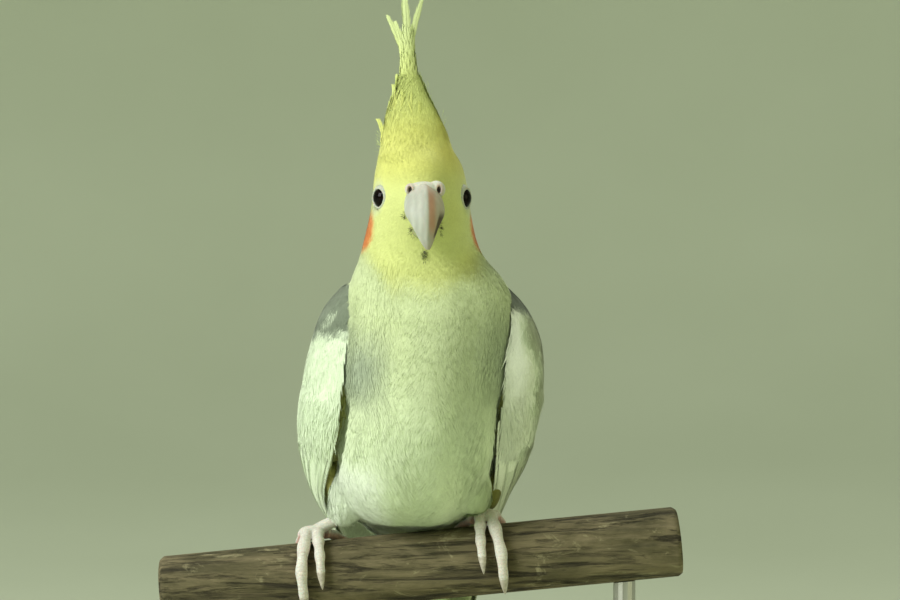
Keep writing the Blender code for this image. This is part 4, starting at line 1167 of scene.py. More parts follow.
# Barbs along the edge of a large feather.
FRINGE_SPACING = 0.42
FRINGE_HALF_WIDTH = 0.16
# A large feather's width at its root, as a share of its full width.
FEATHER_ROOT = 0.6


def feather_outline(s, full, tip, point):
    """Half width along a feather: narrow at the root, then full, then narrower by point, and
    round from tip on."""
    rise = FEATHER_ROOT + (1 - FEATHER_ROOT) * ease(s, 0.0, 0.35)
    end = np.sqrt(np.clip(1 - ((s - tip) / (1 - tip)).clip(0, 1) ** 2, 0, 1))
    return full * rise * end * (1 - point * ease(s, 0.35, 1.0))


def travel(path):
    """How far along a path each of its points lies."""
    return np.concatenate([[0], np.cumsum(np.linalg.norm(np.diff(path, axis=0), axis=1))])


class Vanes:
    """Large feathers gathered into one piece: a domed sheet, a shaft and a fringe of barbs."""

    def __init__(self, rng):
        self.points, self.faces, self.tints, self.barbs, self.uv = [], [], [], [], []
        self.size = 0
        self.rng = rng

    def put(self, grid, faces, tints, barbs, uv):
        """Adds arrays of points; faces are quads, with the last corner repeated in triangles."""
        self.points.append(grid.reshape(-1, 3))
        self.faces.append(faces + self.size)
        self.tints.append(np.broadcast_to(tints, grid.shape).reshape(-1, 3))
        self.barbs.append(np.broadcast_to(barbs, grid.shape).reshape(-1, 3))
        self.uv.append(np.broadcast_to(uv, (grid.size // 3, 2)))
        self.size += grid.size // 3

    def add(self, grid, out, tint, spot, shaft, fringe):
        """One feather from rows of points across it, root to tip. out points away from the
        bird, spot is the root's place on the skin's map, shaft the shaft's radius and fringe
        how far the barbs stand out."""
        rows, columns = grid.shape[:2]
        path = grid[:, columns // 2]
        across = grid[:, -1] - grid[:, 0]
        widths = np.linalg.norm(across, axis=1) / 2
        across[-1] = across[-2]
        across = unit(across)
        ahead = unit(np.gradient(path, axis=0))
        normal = unit(np.cross(across, ahead))
        inward = -normal * np.sign(np.sum(normal * out, -1, keepdims=True))
        travelled = travel(path)
        c = np.linspace(-1, 1, columns)
        barbs = np.zeros(grid.shape)
        barbs[..., 0] = np.abs(c)[None, :] * widths[:, None]
        barbs[..., 1] = travelled[:, None]
        uv = np.stack(np.broadcast_arrays(c[None, :], np.linspace(0, 2, rows)[:, None]), -1)
        uv = spot + uv.reshape(-1, 2) * MAP_STEP
        self.put(grid, grid_faces(rows, columns), tint, barbs, uv)
        self.add_shaft(path, inward, tint, shaft, spot)
        edge = columns // 8
        for hand, column in ((-1.0, edge), (1.0, columns - 1 - edge)):
            self.add_fringe(grid[:, column], hand * across, inward, ahead, widths, travelled, tint,
                            spot, fringe)

    def add_shaft(self, path, inward, tint, radius, spot):
        """The pale shaft, a low ridge along the middle of the outer face."""
        taper = np.linspace(1.0, 0.25, len(path))[:, None]
        side = unit(np.cross(np.gradient(path, axis=0), inward)) * radius * taper
        base = path - inward * 0.02
        ridge = path - inward * (0.04 + 0.5 * radius * taper)
        grid = np.stack([base - side, ridge, base + side], 1)
        light = np.minimum(np.asarray(tint) * 1.04 + 0.01, 0.95)
        self.put(grid, grid_faces(len(path), 3), light, 0.0, spot)

    def add_fringe(self, line, out, inward, ahead, widths, travelled, tint, spot, reach):
        """Single barbs that stand past an edge, so that no edge is a hard line."""
        count = int(travelled[-1] / FRINGE_SPACING)
        at = np.linspace(0.12, 0.985, count) * travelled[-1] + self.rng.uniform(-0.1, 0.1, count)
        at = np.clip(at, 0, travelled[-1])

        def read(values):
            return np.stack([np.interp(at, travelled, v) for v in values.T], -1)

        width = np.interp(at, travelled, widths)[:, None]
        out, deep, ahead = read(out), read(inward), read(ahead)
        root = read(line) + deep * 0.03
        length = (0.25 * width + reach * self.rng.uniform(0.3, 1.0, (count, 1))) * 1.5
        way = unit(out * 0.62 + ahead * 0.78 + deep * 0.04)
        wide = unit(np.cross(way, deep)) * FRINGE_HALF_WIDTH
        middle = root + way * length * 0.55
        grid = np.stack([root, middle - wide, root + way * length, middle + wide], 1)
        self.put(grid, 4 * np.arange(count)[:, None] + np.arange(4)[None], tint, 0.0, spot)

    def finish(self, name, look):
        made = mesh_object(
            name, np.vstack(self.points), np.vstack(self.faces), np.vstack(self.tints),
            np.vstack(self.uv) % 1.0,
        )
        set_tint(made.data, np.vstack(self.barbs), "barb")
        return dressed(made, look)


# Tiers of wing feathers: start and end in sections along the wing, spread of the tips, number,
# root and tip depth, how much sooner each ends than the one in front of it.
WING_TIERS = (
    (3.30, 5.40, 0.98, 12, 1.05, 0.70, 0.0),
    (4.10, 6.60, 0.97, 12, 1.00, 0.55, -0.02),
    (5.10, 8.00, 0.94, 12, 1.05, 0.40, -0.05),
    (6.40, 9.95, 0.84, 10, 1.10, 0.25, 0.12),
)
# From this section on, feathers are long and their tips narrow.
LONG_FEATHERS_FROM = 5.0
# The small feathers of the shoulder: the section where they end, depth, and the length of a
# feather at each of three sections.
COVERTS_END = 4.3
COVERT_DEPTH = 0.85
COVERT_LENGTHS = ((0.0, 2.5, COVERTS_END), (4.6, 7.4, 9.5))
COVERT_SPACING = 0.15
# A vane's half width in gaps between vanes, how it leans under the next one, and its dome.
VANE_HALF = 1.15
VANE_TILT = 0.05
VANE_DOME = 0.05
# Height of the lower edge of each grey shoulder, and how much of its grey is kept: the left
# shoulder's grey is darker as painted shade.
SHOULDER_HEM = {"right": 62.5, "left": 70.0}
SHOULDER_SHADE = {"right": 1.0, "left": 0.6}
# A pale feather edge on the right shoulder: ends in x, y and z.
PALE_EDGE = ((-28.0, -17.0, 72.6), (-33.0, -14.0, 66.0))
# Share of each wing's width at its front edge that has no feather's middle.
WING_WRAP = {"right": 0.03, "left": 0.0}
# Angles round each wing over which its white turns to grey; on the left wing it begins early, as
# painted shade where the wing turns away from the light.
WING_GREY_AND_SHADE = {"right": (4.0, 24.0), "left": (-26.0, -12.0)}
SIDE_GREY_AND_SHADE = (0.42, 0.47, 0.30)
# Lighter white painted at the front of the left wing, as light falling there.
PAINTED_LIGHT_STRIP = (0.90, 0.96, 0.77)
PAINTED_LIGHT_ANGLES = (-18.0, -28.0)
# Added to the normals at the white front of the left wing, which is cupped forward.
STRIP_LEAN = np.array((-0.55, -0.35, 0.30))


def wing_markings(side, points, degrees):
    """Grey on the shoulder and towards the back, white over the coverts and flight feathers; on the
    left wing, painted light on its white front and painted shade in its darker shoulder and its
    grey towards the back.
    """
    colours = np.broadcast_to(np.asarray(WHITE, float), points.shape).copy()
    ripple = 1.2 * np.sin(points[..., 1] / 1.7) + 0.25 * points[..., 1]
    hem = SHOULDER_HEM[side]
    shoulder = ease(points[..., 2] + ripple * 0.4, hem - 1.5, hem + 1.5)
    behind = degrees + 4.0 * np.sin(points[..., 2] / 3.1)
    # Painted light on the white front of the left wing.
    if side == "left":
        colours = blend_in(colours, PAINTED_LIGHT_STRIP, ease(behind, *PAINTED_LIGHT_ANGLES))
    # Grey towards the back, on the left wing also painted shade.
    colours = blend_in(colours, SIDE_GREY_AND_SHADE, ease(behind, *WING_GREY_AND_SHADE[side]))
    # Grey shoulder, with painted shade on the left one.
    colours = blend_in(colours, np.asarray(SHOULDER) * SHOULDER_SHADE[side], shoulder * 0.97)
    if side == "right":
        line = np.linspace(*np.array(PALE_EDGE), 20)
        near_it = ease(near_line(points, line), 1.9, 1.0)
        colours = blend_in(colours, WHITE, near_it)
    return colours


def wing_coverts(side, look, rng):
    """The small soft feathers over the shoulder, laid as on the body."""

    def surface(t, q):
        front, back, _ = wing_edges(side, t)
        return wing_point(side, t, front + (back - front) * q, COVERT_DEPTH)

    rows, columns = 320, 160
    t, q = np.meshgrid(
        np.linspace(0.0, COVERTS_END, rows), np.linspace(0.0, 1.0, columns), indexing="ij"
    )
    t, q = t.ravel(), q.ravel()
    dt, dq = COVERTS_END / rows, 1.0 / columns
    here = surface(t, q)
    down, back = surface(t + dt, q) - here, surface(t, q + dq) - here
    area = np.linalg.norm(np.cross(down, back), axis=1)
    lengths = np.interp(t, *COVERT_LENGTHS)
    picks = scattered(area / (COVERT_SPACING * lengths) ** 2, rng)
    picks = picks[q[picks] > WING_WRAP[side]]
    count = len(picks)
    normals = unit(np.cross(down, back))[picks] * OUTWARD[side]
    inward_lean = 0.30 * ease(q[picks], 0.16, 0.02)[:, None]
    flow = unit(unit(down)[picks] + unit(back)[picks] * inward_lean)
    points = here[picks] + down[picks] * rng.random((count, 1))
    points = points + back[picks] * rng.random((count, 1))
    lengths = lengths[picks] * (1 + 0.08 * clipped_normal(rng, count))
    tips = points + flow * lengths[:, None] * 0.5
    front, back_edge, _ = wing_edges(side, t[picks])
    degrees = front + (back_edge - front) * q[picks]
    tints = wing_markings(side, tips, degrees) * (1 + 0.015 * rng.normal(0, 1, (count, 1)))
    ahead, further = t + 0.3, t + 0.4
    ends = unit(surface(np.minimum(further, 3.2), q) - surface(ahead, q))[picks]
    reach = np.linalg.norm(surface(further, q) - here, axis=1)[picks]
    bend = np.clip(-np.sum(ends * normals, -1) / np.maximum(reach, 1.0), -0.02, 0.08)
    uv = np.stack([0.5 + OUTWARD[side] * (0.05 + 0.4 * q[picks]), 0.3 + 0.6 * t[picks] / 10], -1)
    lean = STRIP_LEAN * ease(degrees, -22.0, -34.0)[:, None] * (side == "left")
    parts = barb_fans(points, normals, flow, bend, lengths, tints, uv, rng, blades=13,
                      spread=26.0, lift=(-0.3, 0.20, 0.14), shade_by=0.015, ruffle=0.5, lean=lean)
    return in_pieces("wing_coverts_" + side, parts, look)


def wing_feathers(side, look, rng):
    """Tiers of large feathers, each laid on the wing's own curve and over the one behind it."""
    vanes, wrap = Vanes(rng), WING_WRAP[side]
    c = np.linspace(-1, 1, 9)
    for start, end, spread, count, low, high, stagger in WING_TIERS:
        long = end > LONG_FEATHERS_FROM
        s = np.linspace(0, 1, 26 if long else 16)[:, None] ** 0.85
        at_two_thirds = len(s) * 2 // 3
        for k in range(count):
            q0 = (k + 0.5 + 0.14 * rng.uniform(-1, 1)) / count
            q0 = wrap + (1 - wrap) * q0
            q1 = 0.5 + (q0 - 0.5) * spread
            tip = end - stagger * k - 0.07 * (end - start) * rng.uniform(0, 1)
            t = start + (tip - start) * s
            front, back, _ = wing_edges(side, t)
            degrees = front + (back - front) * (q0 + (q1 - q0) * s)
            step = (back - front) / count * (1 + (spread - 1) * s)
            depth = low + (high - low) * np.sin(np.minimum(s / 0.85, 1.15) * math.pi / 2)
            tip_from, narrowing = (0.86, 0.15) if long else (0.70, 0.0)
            half = feather_outline(s, VANE_HALF, tip_from, narrowing)
            turn = np.maximum(degrees + c * half * step, front + wrap * (back - front) - 1.0)
            grid = wing_point(side, t, turn, depth + VANE_TILT * c + VANE_DOME * c**2)
            middle = grid[at_two_thirds, 4]
            tint = wing_markings(side, middle[None], degrees[at_two_thirds])[0]
            tint = tint * (1 + 0.03 * rng.normal())
            spot = np.array((0.5 + OUTWARD[side] * (0.05 + 0.4 * q0), 0.3 + 0.06 * start))
            out = wing_point(side, t, degrees, -1.0)[:, 0] - grid[:, 4]
            vanes.add(grid, out, tint, spot, 0.07 if long else 0.04, 0.3)
    return vanes.finish("wing_feathers_" + side, look)


# The long tail feathers lie in pairs: where they start, how far out each pair is and how it
# spreads, the depth of the first and the step from one to the next, and half width.
TAIL_START = 4.0
TAIL_OUTWARD, TAIL_STEP_OUT, TAIL_SPREAD = 1.4, 1.25, 0.012
TAIL_LAYER, TAIL_LAYER_STEP = 2.0, 0.45
TAIL_HALF_WIDTH = 5.2
# Rows of short feathers over and under the tail's root: share of the step across, start, length
# in the middle, how much shorter each is outward, depth, way the rows' layers go, how far the
# tips rise, half width.
TAIL_COVER_COUNT, TAIL_COVER_STEP = 7, 2.5
TAIL_COVERS = (
    (1.0, 0.5, 46.0, 7.0, 1.9, 1, 1.9, 3.0),
    (1.0, 2.0, 54.0, 8.0, 12.8, -1, 5.0, 3.1),
    (0.9, -6.0, 32.0, 5.0, 0.9, 1, 1.1, 2.8),
)


def tail_feathers(look, rng):
    """Long feathers in pairs, with shorter ones over and under their roots."""
    vanes = Vanes(rng)
    first = body_point(BODY_END, math.pi / 2)

    def add(x, slant, start, length, layer, lift, width, tint, tip, point):
        s = np.linspace(0, 1, 44) ** 0.9
        along = length * s
        depth = layer - lift * s
        path = first + TAIL_DOWN * start + np.outer(along, TAIL_DOWN) - np.outer(depth, TAIL_OUT)
        path[:, 0] += x + slant * along
        c = np.linspace(-1, 1, 11)
        widths = feather_outline(s, width, tip, point)[:, None]
        sides = (c * widths)[..., None] * (1.0, 0.0, 0.0)
        drop = (0.5 * c**2 * widths / width)[..., None] * TAIL_OUT
        spot = np.array((0.25 + 0.01 * x, 0.06))
        vanes.add(path[:, None] + sides - drop, TAIL_OUT, tint, spot, 0.22, 0.4)

    cream = np.asarray(TAIL_CREAM)
    for pair, length in enumerate(TAIL_LENGTHS):
        for side in (-1, 1):
            tint = cream * (0.98 - 0.03 * pair) * (1 + 0.02 * rng.normal())
            layer = TAIL_LAYER + TAIL_LAYER_STEP * (2 * pair + (side > 0))
            x = side * (TAIL_OUTWARD + TAIL_STEP_OUT * pair)
            add(x, side * TAIL_SPREAD, TAIL_START, length, layer, 0.0, TAIL_HALF_WIDTH, tint,
                0.80, 0.45)
    for k in range(TAIL_COVER_COUNT):
        off = k - TAIL_COVER_COUNT // 2
        tint = (cream * 0.7 + np.asarray(SMUDGE_AND_SHADE_GREY) * 0.3) * (1 + 0.02 * rng.normal())
        for share, start, length, shorter, depth, way, lift, width in TAIL_COVERS:
            layer = depth + way * 0.30 * (k % 2)
            add(off * TAIL_COVER_STEP * share, 0.0, start, length - shorter * abs(off), layer,
                lift, width, tint if way > 0 else cream * 0.95, 0.7, 0.1)
    return vanes.finish("tail_feathers", look)


# Crest

# Outline of the bunch of crest feathers, from where it grows out of the forehead.
CREST_SKIRT = np.array([
    (108.0, -0.1, -12.0, 13.6, 16.4),
    (113.5, -0.3, -12.5, 13.9, 15.6),
    (118.2, -0.8, -12.9, 13.7, 13.6),
])
CREST_OUTLINE = np.vstack([CREST_SKIRT, CREST_SECTIONS[1:]])
# Heights, and the share of the bunch's width there for the skin, the roots of the small feathers
# and the shafts of the crest's own feathers.
CREST_CORE = ((112.0, 120.0, 145.0, 158.0), (0.80, 0.84, 0.66, 0.2))
CREST_FLESH = ((112.0, 119.0, 126.0, 135.0, 146.0, 151.0), (0.80, 0.90, 0.88, 0.85, 0.80, 0.60))
CREST_HUG = ((119.0, 126.0, 135.0, 146.0, 155.0, 160.0), (0.97, 0.95, 0.93, 0.90, 0.90, 1.0))
# Heights, and the length of the small feathers there.
CREST_FEATHER = ((111.0, 124.0, 135.0, 145.0), (3.0, 3.8, 4.6, 4.0))
# The small feathers end at this height, and the crest's own feathers go on.
CREST_COAT_TOP = 144.0
# The crest's own feathers: number, heights of the lowest and highest tip, and the turn from one
# to the next, which spreads them evenly.
CREST_COUNT = 130
CREST_LOWEST, CREST_HIGHEST = 138.0, 165.0
CREST_TURN = 137.5
# For the lowest and the highest of them: how far the root is under the tip, the half width, and
# the place out from the bunch's middle.
CREST_LENGTH = (12.0, 28.0)
CREST_HALF_WIDTH = (1.9, 0.8)
CREST_SHARE = (0.98, 0.68)
# How far a barb may stand past its feather's tip.
BARB_PAST_TIP = 0.6
CREST_BARB_SPACING = 0.26
CREST_BARB_ANGLE = 13.0
CREST_BARB_HALF_WIDTH = 0.17
# Heights, and how round the feathers curl there.
CREST_CURL = ((128.0, 150.0, 165.0), (14.0, 6.0, 5.0))
# Shares of a feather's length, and its half width there: in the bunch, and placed one by one.
CREST_BUNCH_SHAPE = ((0, 0.15, 0.55, 0.85, 1.0), (0.6, 1.0, 0.95, 0.55, 0.15))
CREST_PLACED_SHAPE = ((0, 0.15, 0.75, 0.93, 1.0), (0.6, 1.0, 0.90, 0.55, 0.15))
# Feathers placed one by one, tall ones and short ones that stand off the sides: x and z of the
# tip, angle round the bunch, share of its half width, half width of the vane and the way the
# vane faces.
CREST_PLACED = (
    (-5.2, 173.8, 265.0, 0.30, 1.25, 268.0),
    (-5.8, 173.0, 95.0, 0.30, 1.20, 95.0),
    (-10.9, 167.4, 200.0, 0.50, 1.05, 262.0),
    (-10.3, 165.8, 150.0, 0.50, 0.90, 100.0),
    (-8.4, 165.3, 225.0, 0.45, 1.00, 255.0),
    (0.2, 172.8, 330.0, 0.50, 1.05, 280.0),
    (-0.4, 171.6, 40.0, 0.45, 0.90, 70.0),
    (-3.4, 163.0, 290.0, 0.50, 1.20, 285.0),
    (-2.6, 159.5, 320.0, 0.70, 1.20, 300.0),
    (-6.6, 158.5, 235.0, 0.70, 1.20, 245.0),
    (-13.4, 132.2, 190.0, 0.97, 0.95, 240.0),
    (-8.9, 143.6, 195.0, 0.97, 0.90, 245.0),
    (-7.8, 147.2, 185.0, 0.97, 0.80, 250.0),
)
# Fine hairs that stand off the sides, in rows like those of the bristles.
CREST_HAIRS = (
    (22, (6.6, -3.0, 24.0), (1.0, 3.0, 3.0), (0.60, 0.2, 0.75), 2.3),
    (10, (2.0, -4.0, 34.0), (0.6, 2.0, 2.0), (0.45, 0.2, 0.85), 2.2),
    (26, (-13.2, -3.0, 17.0), (0.8, 3.0, 3.4), (-0.75, 0.2, 0.6), 2.3),
    (14, (-9.6, -3.0, 28.0), (0.6, 3.0, 3.0), (-0.70, 0.2, 0.7), 2.0),
)
CREST_HAIR = (0.70, 0.80, 0.40)


def crest_point(z, degrees, share):
    """Points on the bunch of crest feathers, and the directions out of it and round it."""
    t = np.interp(z, CREST_OUTLINE[:, 0], np.arange(len(CREST_OUTLINE)))
    _, x, y, half_x, half_y = read_at(CREST_OUTLINE, t)
    a = np.radians(degrees)
    out = unit(np.stack(np.broadcast_arrays(np.cos(a) / half_x, np.sin(a) / half_y, 0 * z), -1))
    point = np.stack([x + share * half_x * np.cos(a), y + share * half_y * np.sin(a), z], -1)
    return point, out, np.stack([-out[:, 1], out[:, 0], 0 * z], -1)


def crest_feather(z_root, z_tip, degrees, share, width, rng, tip_x=None, facing=None):
    """One crest feather: a row of barbs on each side. One that is placed has its own x at the
    tip and its own way to face."""
    placed = tip_x is not None
    s = np.linspace(0, 1, 30)
    z = z_root + (z_tip - z_root) * s
    sink = np.clip((z_tip - z) * 0.05, 0.0, 1.6)
    if placed:
        share = np.interp(z, (z_root, z_root + 16.0), (1.0, share))
    path, out, round_it = crest_point(z, degrees, share * np.interp(z, *CREST_HUG))
    path = path - out * sink[:, None] * 0.9
    if placed:
        path[:, 0] += (tip_x - path[-1, 0]) * np.clip((s - 0.4) / 0.6, 0, 1) ** 1.5
    stations = max(24, int(travel(path)[-1] / CREST_BARB_SPACING))
    u = np.linspace(0.02, 1.0, stations)
    centre, lateral, outward = (
        np.stack([np.interp(u, s, v[:, i]) for i in range(3)], -1) for v in (path, round_it, out)
    )
    if placed:
        turn = math.radians(facing)
        outward = np.broadcast_to((math.cos(turn), math.sin(turn), 0.0), centre.shape)
    ahead = unit(np.gradient(centre, axis=0))
    outward = unit(flattened(outward, ahead))
    lateral = unit(np.cross(outward, ahead))
    half = width * np.interp(u, *(CREST_PLACED_SHAPE if placed else CREST_BUNCH_SHAPE))
    angle = np.radians(CREST_BARB_ANGLE + 2.5 * clipped_normal(rng, stations, 1.5))
    parts = []
    spot = np.array(((degrees / 360.0) % 1.0 * 0.9 + 0.05, 0.95))
    for hand in (-1.0, 1.0):
        reach = half / np.sin(angle) * (1 + 0.10 * rng.normal(0, 1, stations))
        direction = ahead * np.cos(angle)[:, None] + hand * lateral * np.sin(angle)[:, None]
        curl = half[:, None] ** 2 / np.interp(centre[:, 2:], *CREST_CURL)
        level = 0.03 * rng.normal(0, 1, (stations, 1)) - curl
        tip = centre + direction * reach[:, None] + outward * level
        tip[:, 2] = np.minimum(tip[:, 2], z_tip + BARB_PAST_TIP)
        middle = centre + direction * (reach * 0.5)[:, None] + outward * 0.05
        wide = unit(np.cross(outward, direction)) * CREST_BARB_HALF_WIDTH
        base = crest_colours(centre)[:, None] * (1 + 0.02 * rng.normal(0, 1, (stations, 1, 1)))
        soft = outward[:, None] * 0.7 + hand * 0.12 * lateral[:, None] + (0.0, -0.35, 0.1)
        # Each barb is darker at its root, as painted shade under the barbs over it, and lighter at
        # its tip.
        parts.append((
            np.stack([centre, middle - wide, middle + wide, tip], 1).reshape(-1, 3),
            (base * np.array([0.93, 1.0, 1.0, 1.06])[None, :, None]).reshape(-1, 3),
            np.broadcast_to(soft, (stations, 4, 3)).reshape(-1, 3),
            spot + rng.random((stations * 4, 2)) * 0.003,
        ))
    return [np.vstack(rows) for rows in zip(*parts)]


def crest_colours(points):
    """The crest: yellow at its foot, a deeper yellow low on the bird's left that is painted shade,
    pale to the tip.
    """
    x, z = points[..., 0], points[..., 2]
    colours = blend_in(markings(points), CREST_YELLOW, fade(z, "crest_yellow_z"))
    # Painted shade: deeper yellow low on the bird's left.
    deep = fade(x, "crest_shade_x") * fade(z, "crest_shade_low_z") * fade(z, "crest_shade_top_z")
    colours = blend_in(colours, CREST_SHADE_YELLOW, 0.8 * deep)
    return blend_in(colours, CREST_PALE, 0.6 * fade(z, "crest_pale_z"))


def crest_feathers(look, rng):
    made = []
    for k in range(CREST_COUNT):
        u = (k + 0.5) / CREST_COUNT
        z_tip = CREST_LOWEST + (CREST_HIGHEST - CREST_LOWEST) * u + rng.uniform(-1, 1)
        degrees = CREST_TURN * k + rng.uniform(-6, 6)
        if math.cos(math.radians(degrees)) > 0.3 and z_tip < 148.0:
            continue
        z_root = z_tip - np.interp(u, (0, 1), CREST_LENGTH)
        width, share = np.interp(u, (0, 1), CREST_HALF_WIDTH), np.interp(u**3, (0, 1), CREST_SHARE)
        made.append(crest_feather(z_root, z_tip, degrees, share, width, rng))
    for tip_x, z_tip, degrees, share, width, facing in CREST_PLACED:
        z_root = max(z_tip - 40.0, 0.45 * z_tip + 62.0)
        made.append(crest_feather(z_root, z_tip, degrees, share, width, rng, tip_x, facing))
    points, tints, normals, uv = (np.vstack(rows) for rows in zip(*made))
    faces = barb_faces(len(points) // 4)
    piece = mesh_object("crest_feathers", points, faces, np.clip(tints, 0, 1), uv, normals)
    return dressed(piece, look)


# Head

def ball(centre, size, across=48, rings=32):
    """Rings of a ball with its own half size along each axis."""
    v = np.linspace(0.02, math.pi - 0.02, rings)[:, None]
    a = circle(across)[None, :]
    shape = np.stack(np.broadcast_arrays(
        np.sin(v) * np.cos(a), np.sin(v) * np.sin(a), np.cos(v)
    ), -1)
    return np.asarray(centre) + shape * np.asarray(size)


# Bill sections, and how far the bill stands to one side there.
BILL_LEAN = ((0.0, 5.0, 8.0), (-0.6, -0.5, 0.1))
BILL_RIDGE = 0.30
# The bill's colours. On the bird's left the brown and tan are partly painted shade and the dark
# edge is a painted shadow; the lower bill's colour is partly painted shade under the upper.
GREY_HORN = (0.48, 0.50, 0.42)
BROWN_HORN_AND_SHADE = (0.42, 0.38, 0.27)
TAN_HORN_AND_SHADE = (0.42, 0.22, 0.12)
PALE_HORN = (0.54, 0.50, 0.42)
PAINTED_SHADOW_EDGE = (0.06, 0.04, 0.02)
LOWER_HORN_AND_SHADE = (0.30, 0.33, 0.15)
TIP_HORN = (0.38, 0.30, 0.24)
# Heights up the bill, and its half width there.
BILL_SHAPE = ((-13.0, -10.0, -6.0), (2.4, 3.6, 5.0))


def bill_rings(sections, rows, sides, ridge):
    """Rings of a bill, with its ridge drawn in by ridge."""
    t = np.linspace(0, len(sections) - 1, rows)
    inner_f, inner_u, outer_f, outer_u, half = read_at(sections, t)
    a = circle(sides)[None, :]
    sin, cos = np.sin(a), np.cos(a)
    narrowing = 1 - 0.22 * sin - ridge * np.clip(sin, 0, 1) ** 3
    forward = ((inner_f + outer_f) / 2)[:, None] + ((outer_f - inner_f) / 2)[:, None] * sin
    up = ((inner_u + outer_u) / 2)[:, None] + ((outer_u - inner_u) / 2)[:, None] * sin
    lean = np.interp(t, *BILL_LEAN)[:, None]
    return head_point(half[:, None] * cos * narrowing + lean, forward, up)


def bill_look():
    look = Look("bill_horn", 0.5, Specular_IOR_Level=0.35, Subsurface_Weight=0.12,
                Subsurface_Scale=0.0015)
    grain = look.noise(700.0, 5.0, vector=look.coordinates((1.0, 1.0, 0.25)))
    look.colour(look.stored(), look.shades(grain, 0.84))
    look.rough(grain, 0.42, 0.62)
    look.bump(grain, 0.06, 0.3)
    return look.material


def bill(look):
    """Both halves, streaked along, with tan and brown on the bird's left that are partly painted
    shade, and a painted shadow along its edge there.
    """
    upper = loft_object("bill_upper_fine", bill_rings(UPPER_BILL, 90, 64, BILL_RIDGE))
    lower = loft_object("bill_lower_fine", bill_rings(LOWER_BILL, 50, 48, 0.0))
    for piece in (upper, lower):
        points = bird_points(piece)
        right, _, up = in_head(points).T
        streaks = 0.5 + 0.5 * np.sin(right * 3.1 + 0.6 * np.sin(up * 0.9))
        colours = np.asarray(GREY_HORN) * (1 - 0.10 * streaks[:, None])
        # Brown and tan on the bird's left, partly painted shade.
        colours = blend_in(colours, BROWN_HORN_AND_SHADE, ease(right, -0.2, 1.6) * 0.9)
        tan_and_shade = ease(right, -0.2, 0.7) * ease(right, 3.4, 1.5) * ease(up, -15.0, -9.0)
        colours = blend_in(colours, TAN_HORN_AND_SHADE, tan_and_shade * 0.85)
        from_root = np.linalg.norm(points - head_point(0, 14, 2), axis=1)
        colours = blend_in(colours, PALE_HORN, ease(from_root, 8.0, 2.0) * 0.7)
        # A painted shadow along the bill's edge on the bird's left.
        edge = ease(right / np.interp(up, *BILL_SHAPE), 0.66, 0.76)
        edge = edge * ease(up, -4.5, -7.5) * ease(up, -14.5, -12.0)
        colours = blend_in(colours, PAINTED_SHADOW_EDGE, edge * 0.95)
        # The lower bill's colour is partly painted shade under the upper.
        if piece == lower:
            colours = np.broadcast_to(LOWER_HORN_AND_SHADE, points.shape).copy()
        colours = blend_in(colours, TIP_HORN, ease(points[:, 2], 94.0, 90.0) * 0.6)
        dressed(piece, look, colours)
    return upper, lower


def cere_look():
    look = Look("cere_skin", 0.55, Specular_IOR_Level=0.35, Subsurface_Weight=0.2,
                Subsurface_Scale=0.0015)
    grain = look.noise(1600.0, 4.0)
    look.colour(look.stored(), look.shades(grain, 0.85))
    look.bump(grain, 0.08, 0.35)
    return look.material


# Nostrils: side, place across, half size of the swelling round it; then their place forward and
# up, and the shares of an opening's size across, forward and up.
NOSTRILS = ((-1, -5.1, 2.0), (1, 4.1, 2.9))
NOSTRIL_AT = (15.3, 1.8)
NOSTRIL_SHAPE = (0.62, 2.0, 1.05)
NOSTRIL_DEPTH, NOSTRIL_RIM = 1.2, 0.16
CERE_SKIN = (0.60, 0.60, 0.50)
CERE_PINK = (0.55, 0.36, 0.30)
# Painted shade in each nostril's opening.
NOSTRIL_SHADE = (0.05, 0.025, 0.02)


def cere(look):
    """Bare skin over the bill with a swollen rim round each nostril."""
    parts = [loft_object("part", ball(head_point(-0.5, 13.6, 2.1), (5.0, 2.9, 2.4)))]
    for side, across, size in NOSTRILS:
        middle = head_point(across * 0.88 - 0.1 * size * (side > 0), 13.4, 2.0)
        parts.append(loft_object("part", ball(middle, (size, 2.55, size * 0.95))))
    made = fused("cere_fine", parts, *CERE_GRAIN)
    points = bird_points(made)
    colours = np.broadcast_to(CERE_SKIN, points.shape).copy()
    for _, across, _ in NOSTRILS:
        local = (in_head(points) - (across, *NOSTRIL_AT)) / NOSTRIL_SHAPE
        away = np.linalg.norm(local, axis=1)
        inward = unit(head_point(across * 0.6, 10.0, 1.7) - head_point(across, 15.7, 1.7))
        dent = ease(away, 1.3, 0.5)
        raised = ease(away, 3.0, 1.8) * ease(away, 1.0, 1.5)
        points = points + inward * (NOSTRIL_DEPTH * dent - NOSTRIL_RIM * raised)[:, None]
        colours = blend_in(colours, CERE_PINK, ease(away, 2.4, 1.2) * 0.5)
        # Painted shade in the nostril's opening.
        colours = blend_in(colours, NOSTRIL_SHADE, ease(away, 1.1, 0.7))
    set_points(made.data, points)
    return dressed(made, look, colours)


def eye_look():
    """Black pupil in a dark brown iris, under a clear wet front."""
    look = Look("eye", 0.07, Specular_IOR_Level=0.07)
    look.colour(look.stored(), look.shades(look.noise(2400.0, 3.0), 0.6))
    return look.material


def lid_look():
    look = Look("eyelid_skin", 0.6, Specular_IOR_Level=0.3, Subsurface_Weight=0.15,
                Subsurface_Scale=0.001)
    grain = look.noise(2600.0, 3.0)
    look.colour(look.tones(grain, (0.34, 0.36, 0.28), (0.56, 0.60, 0.48)))
    look.bump(grain, 0.08, 0.5)
    return look.material


PUPIL = (0.004, 0.003, 0.003)
IRIS = (0.007, 0.004, 0.003)
# Distances from the pupil's middle where the iris begins and is full, inside and outside.
IRIS_INSIDE, IRIS_OUTSIDE = (1.45, 1.6), (2.9, 2.5)
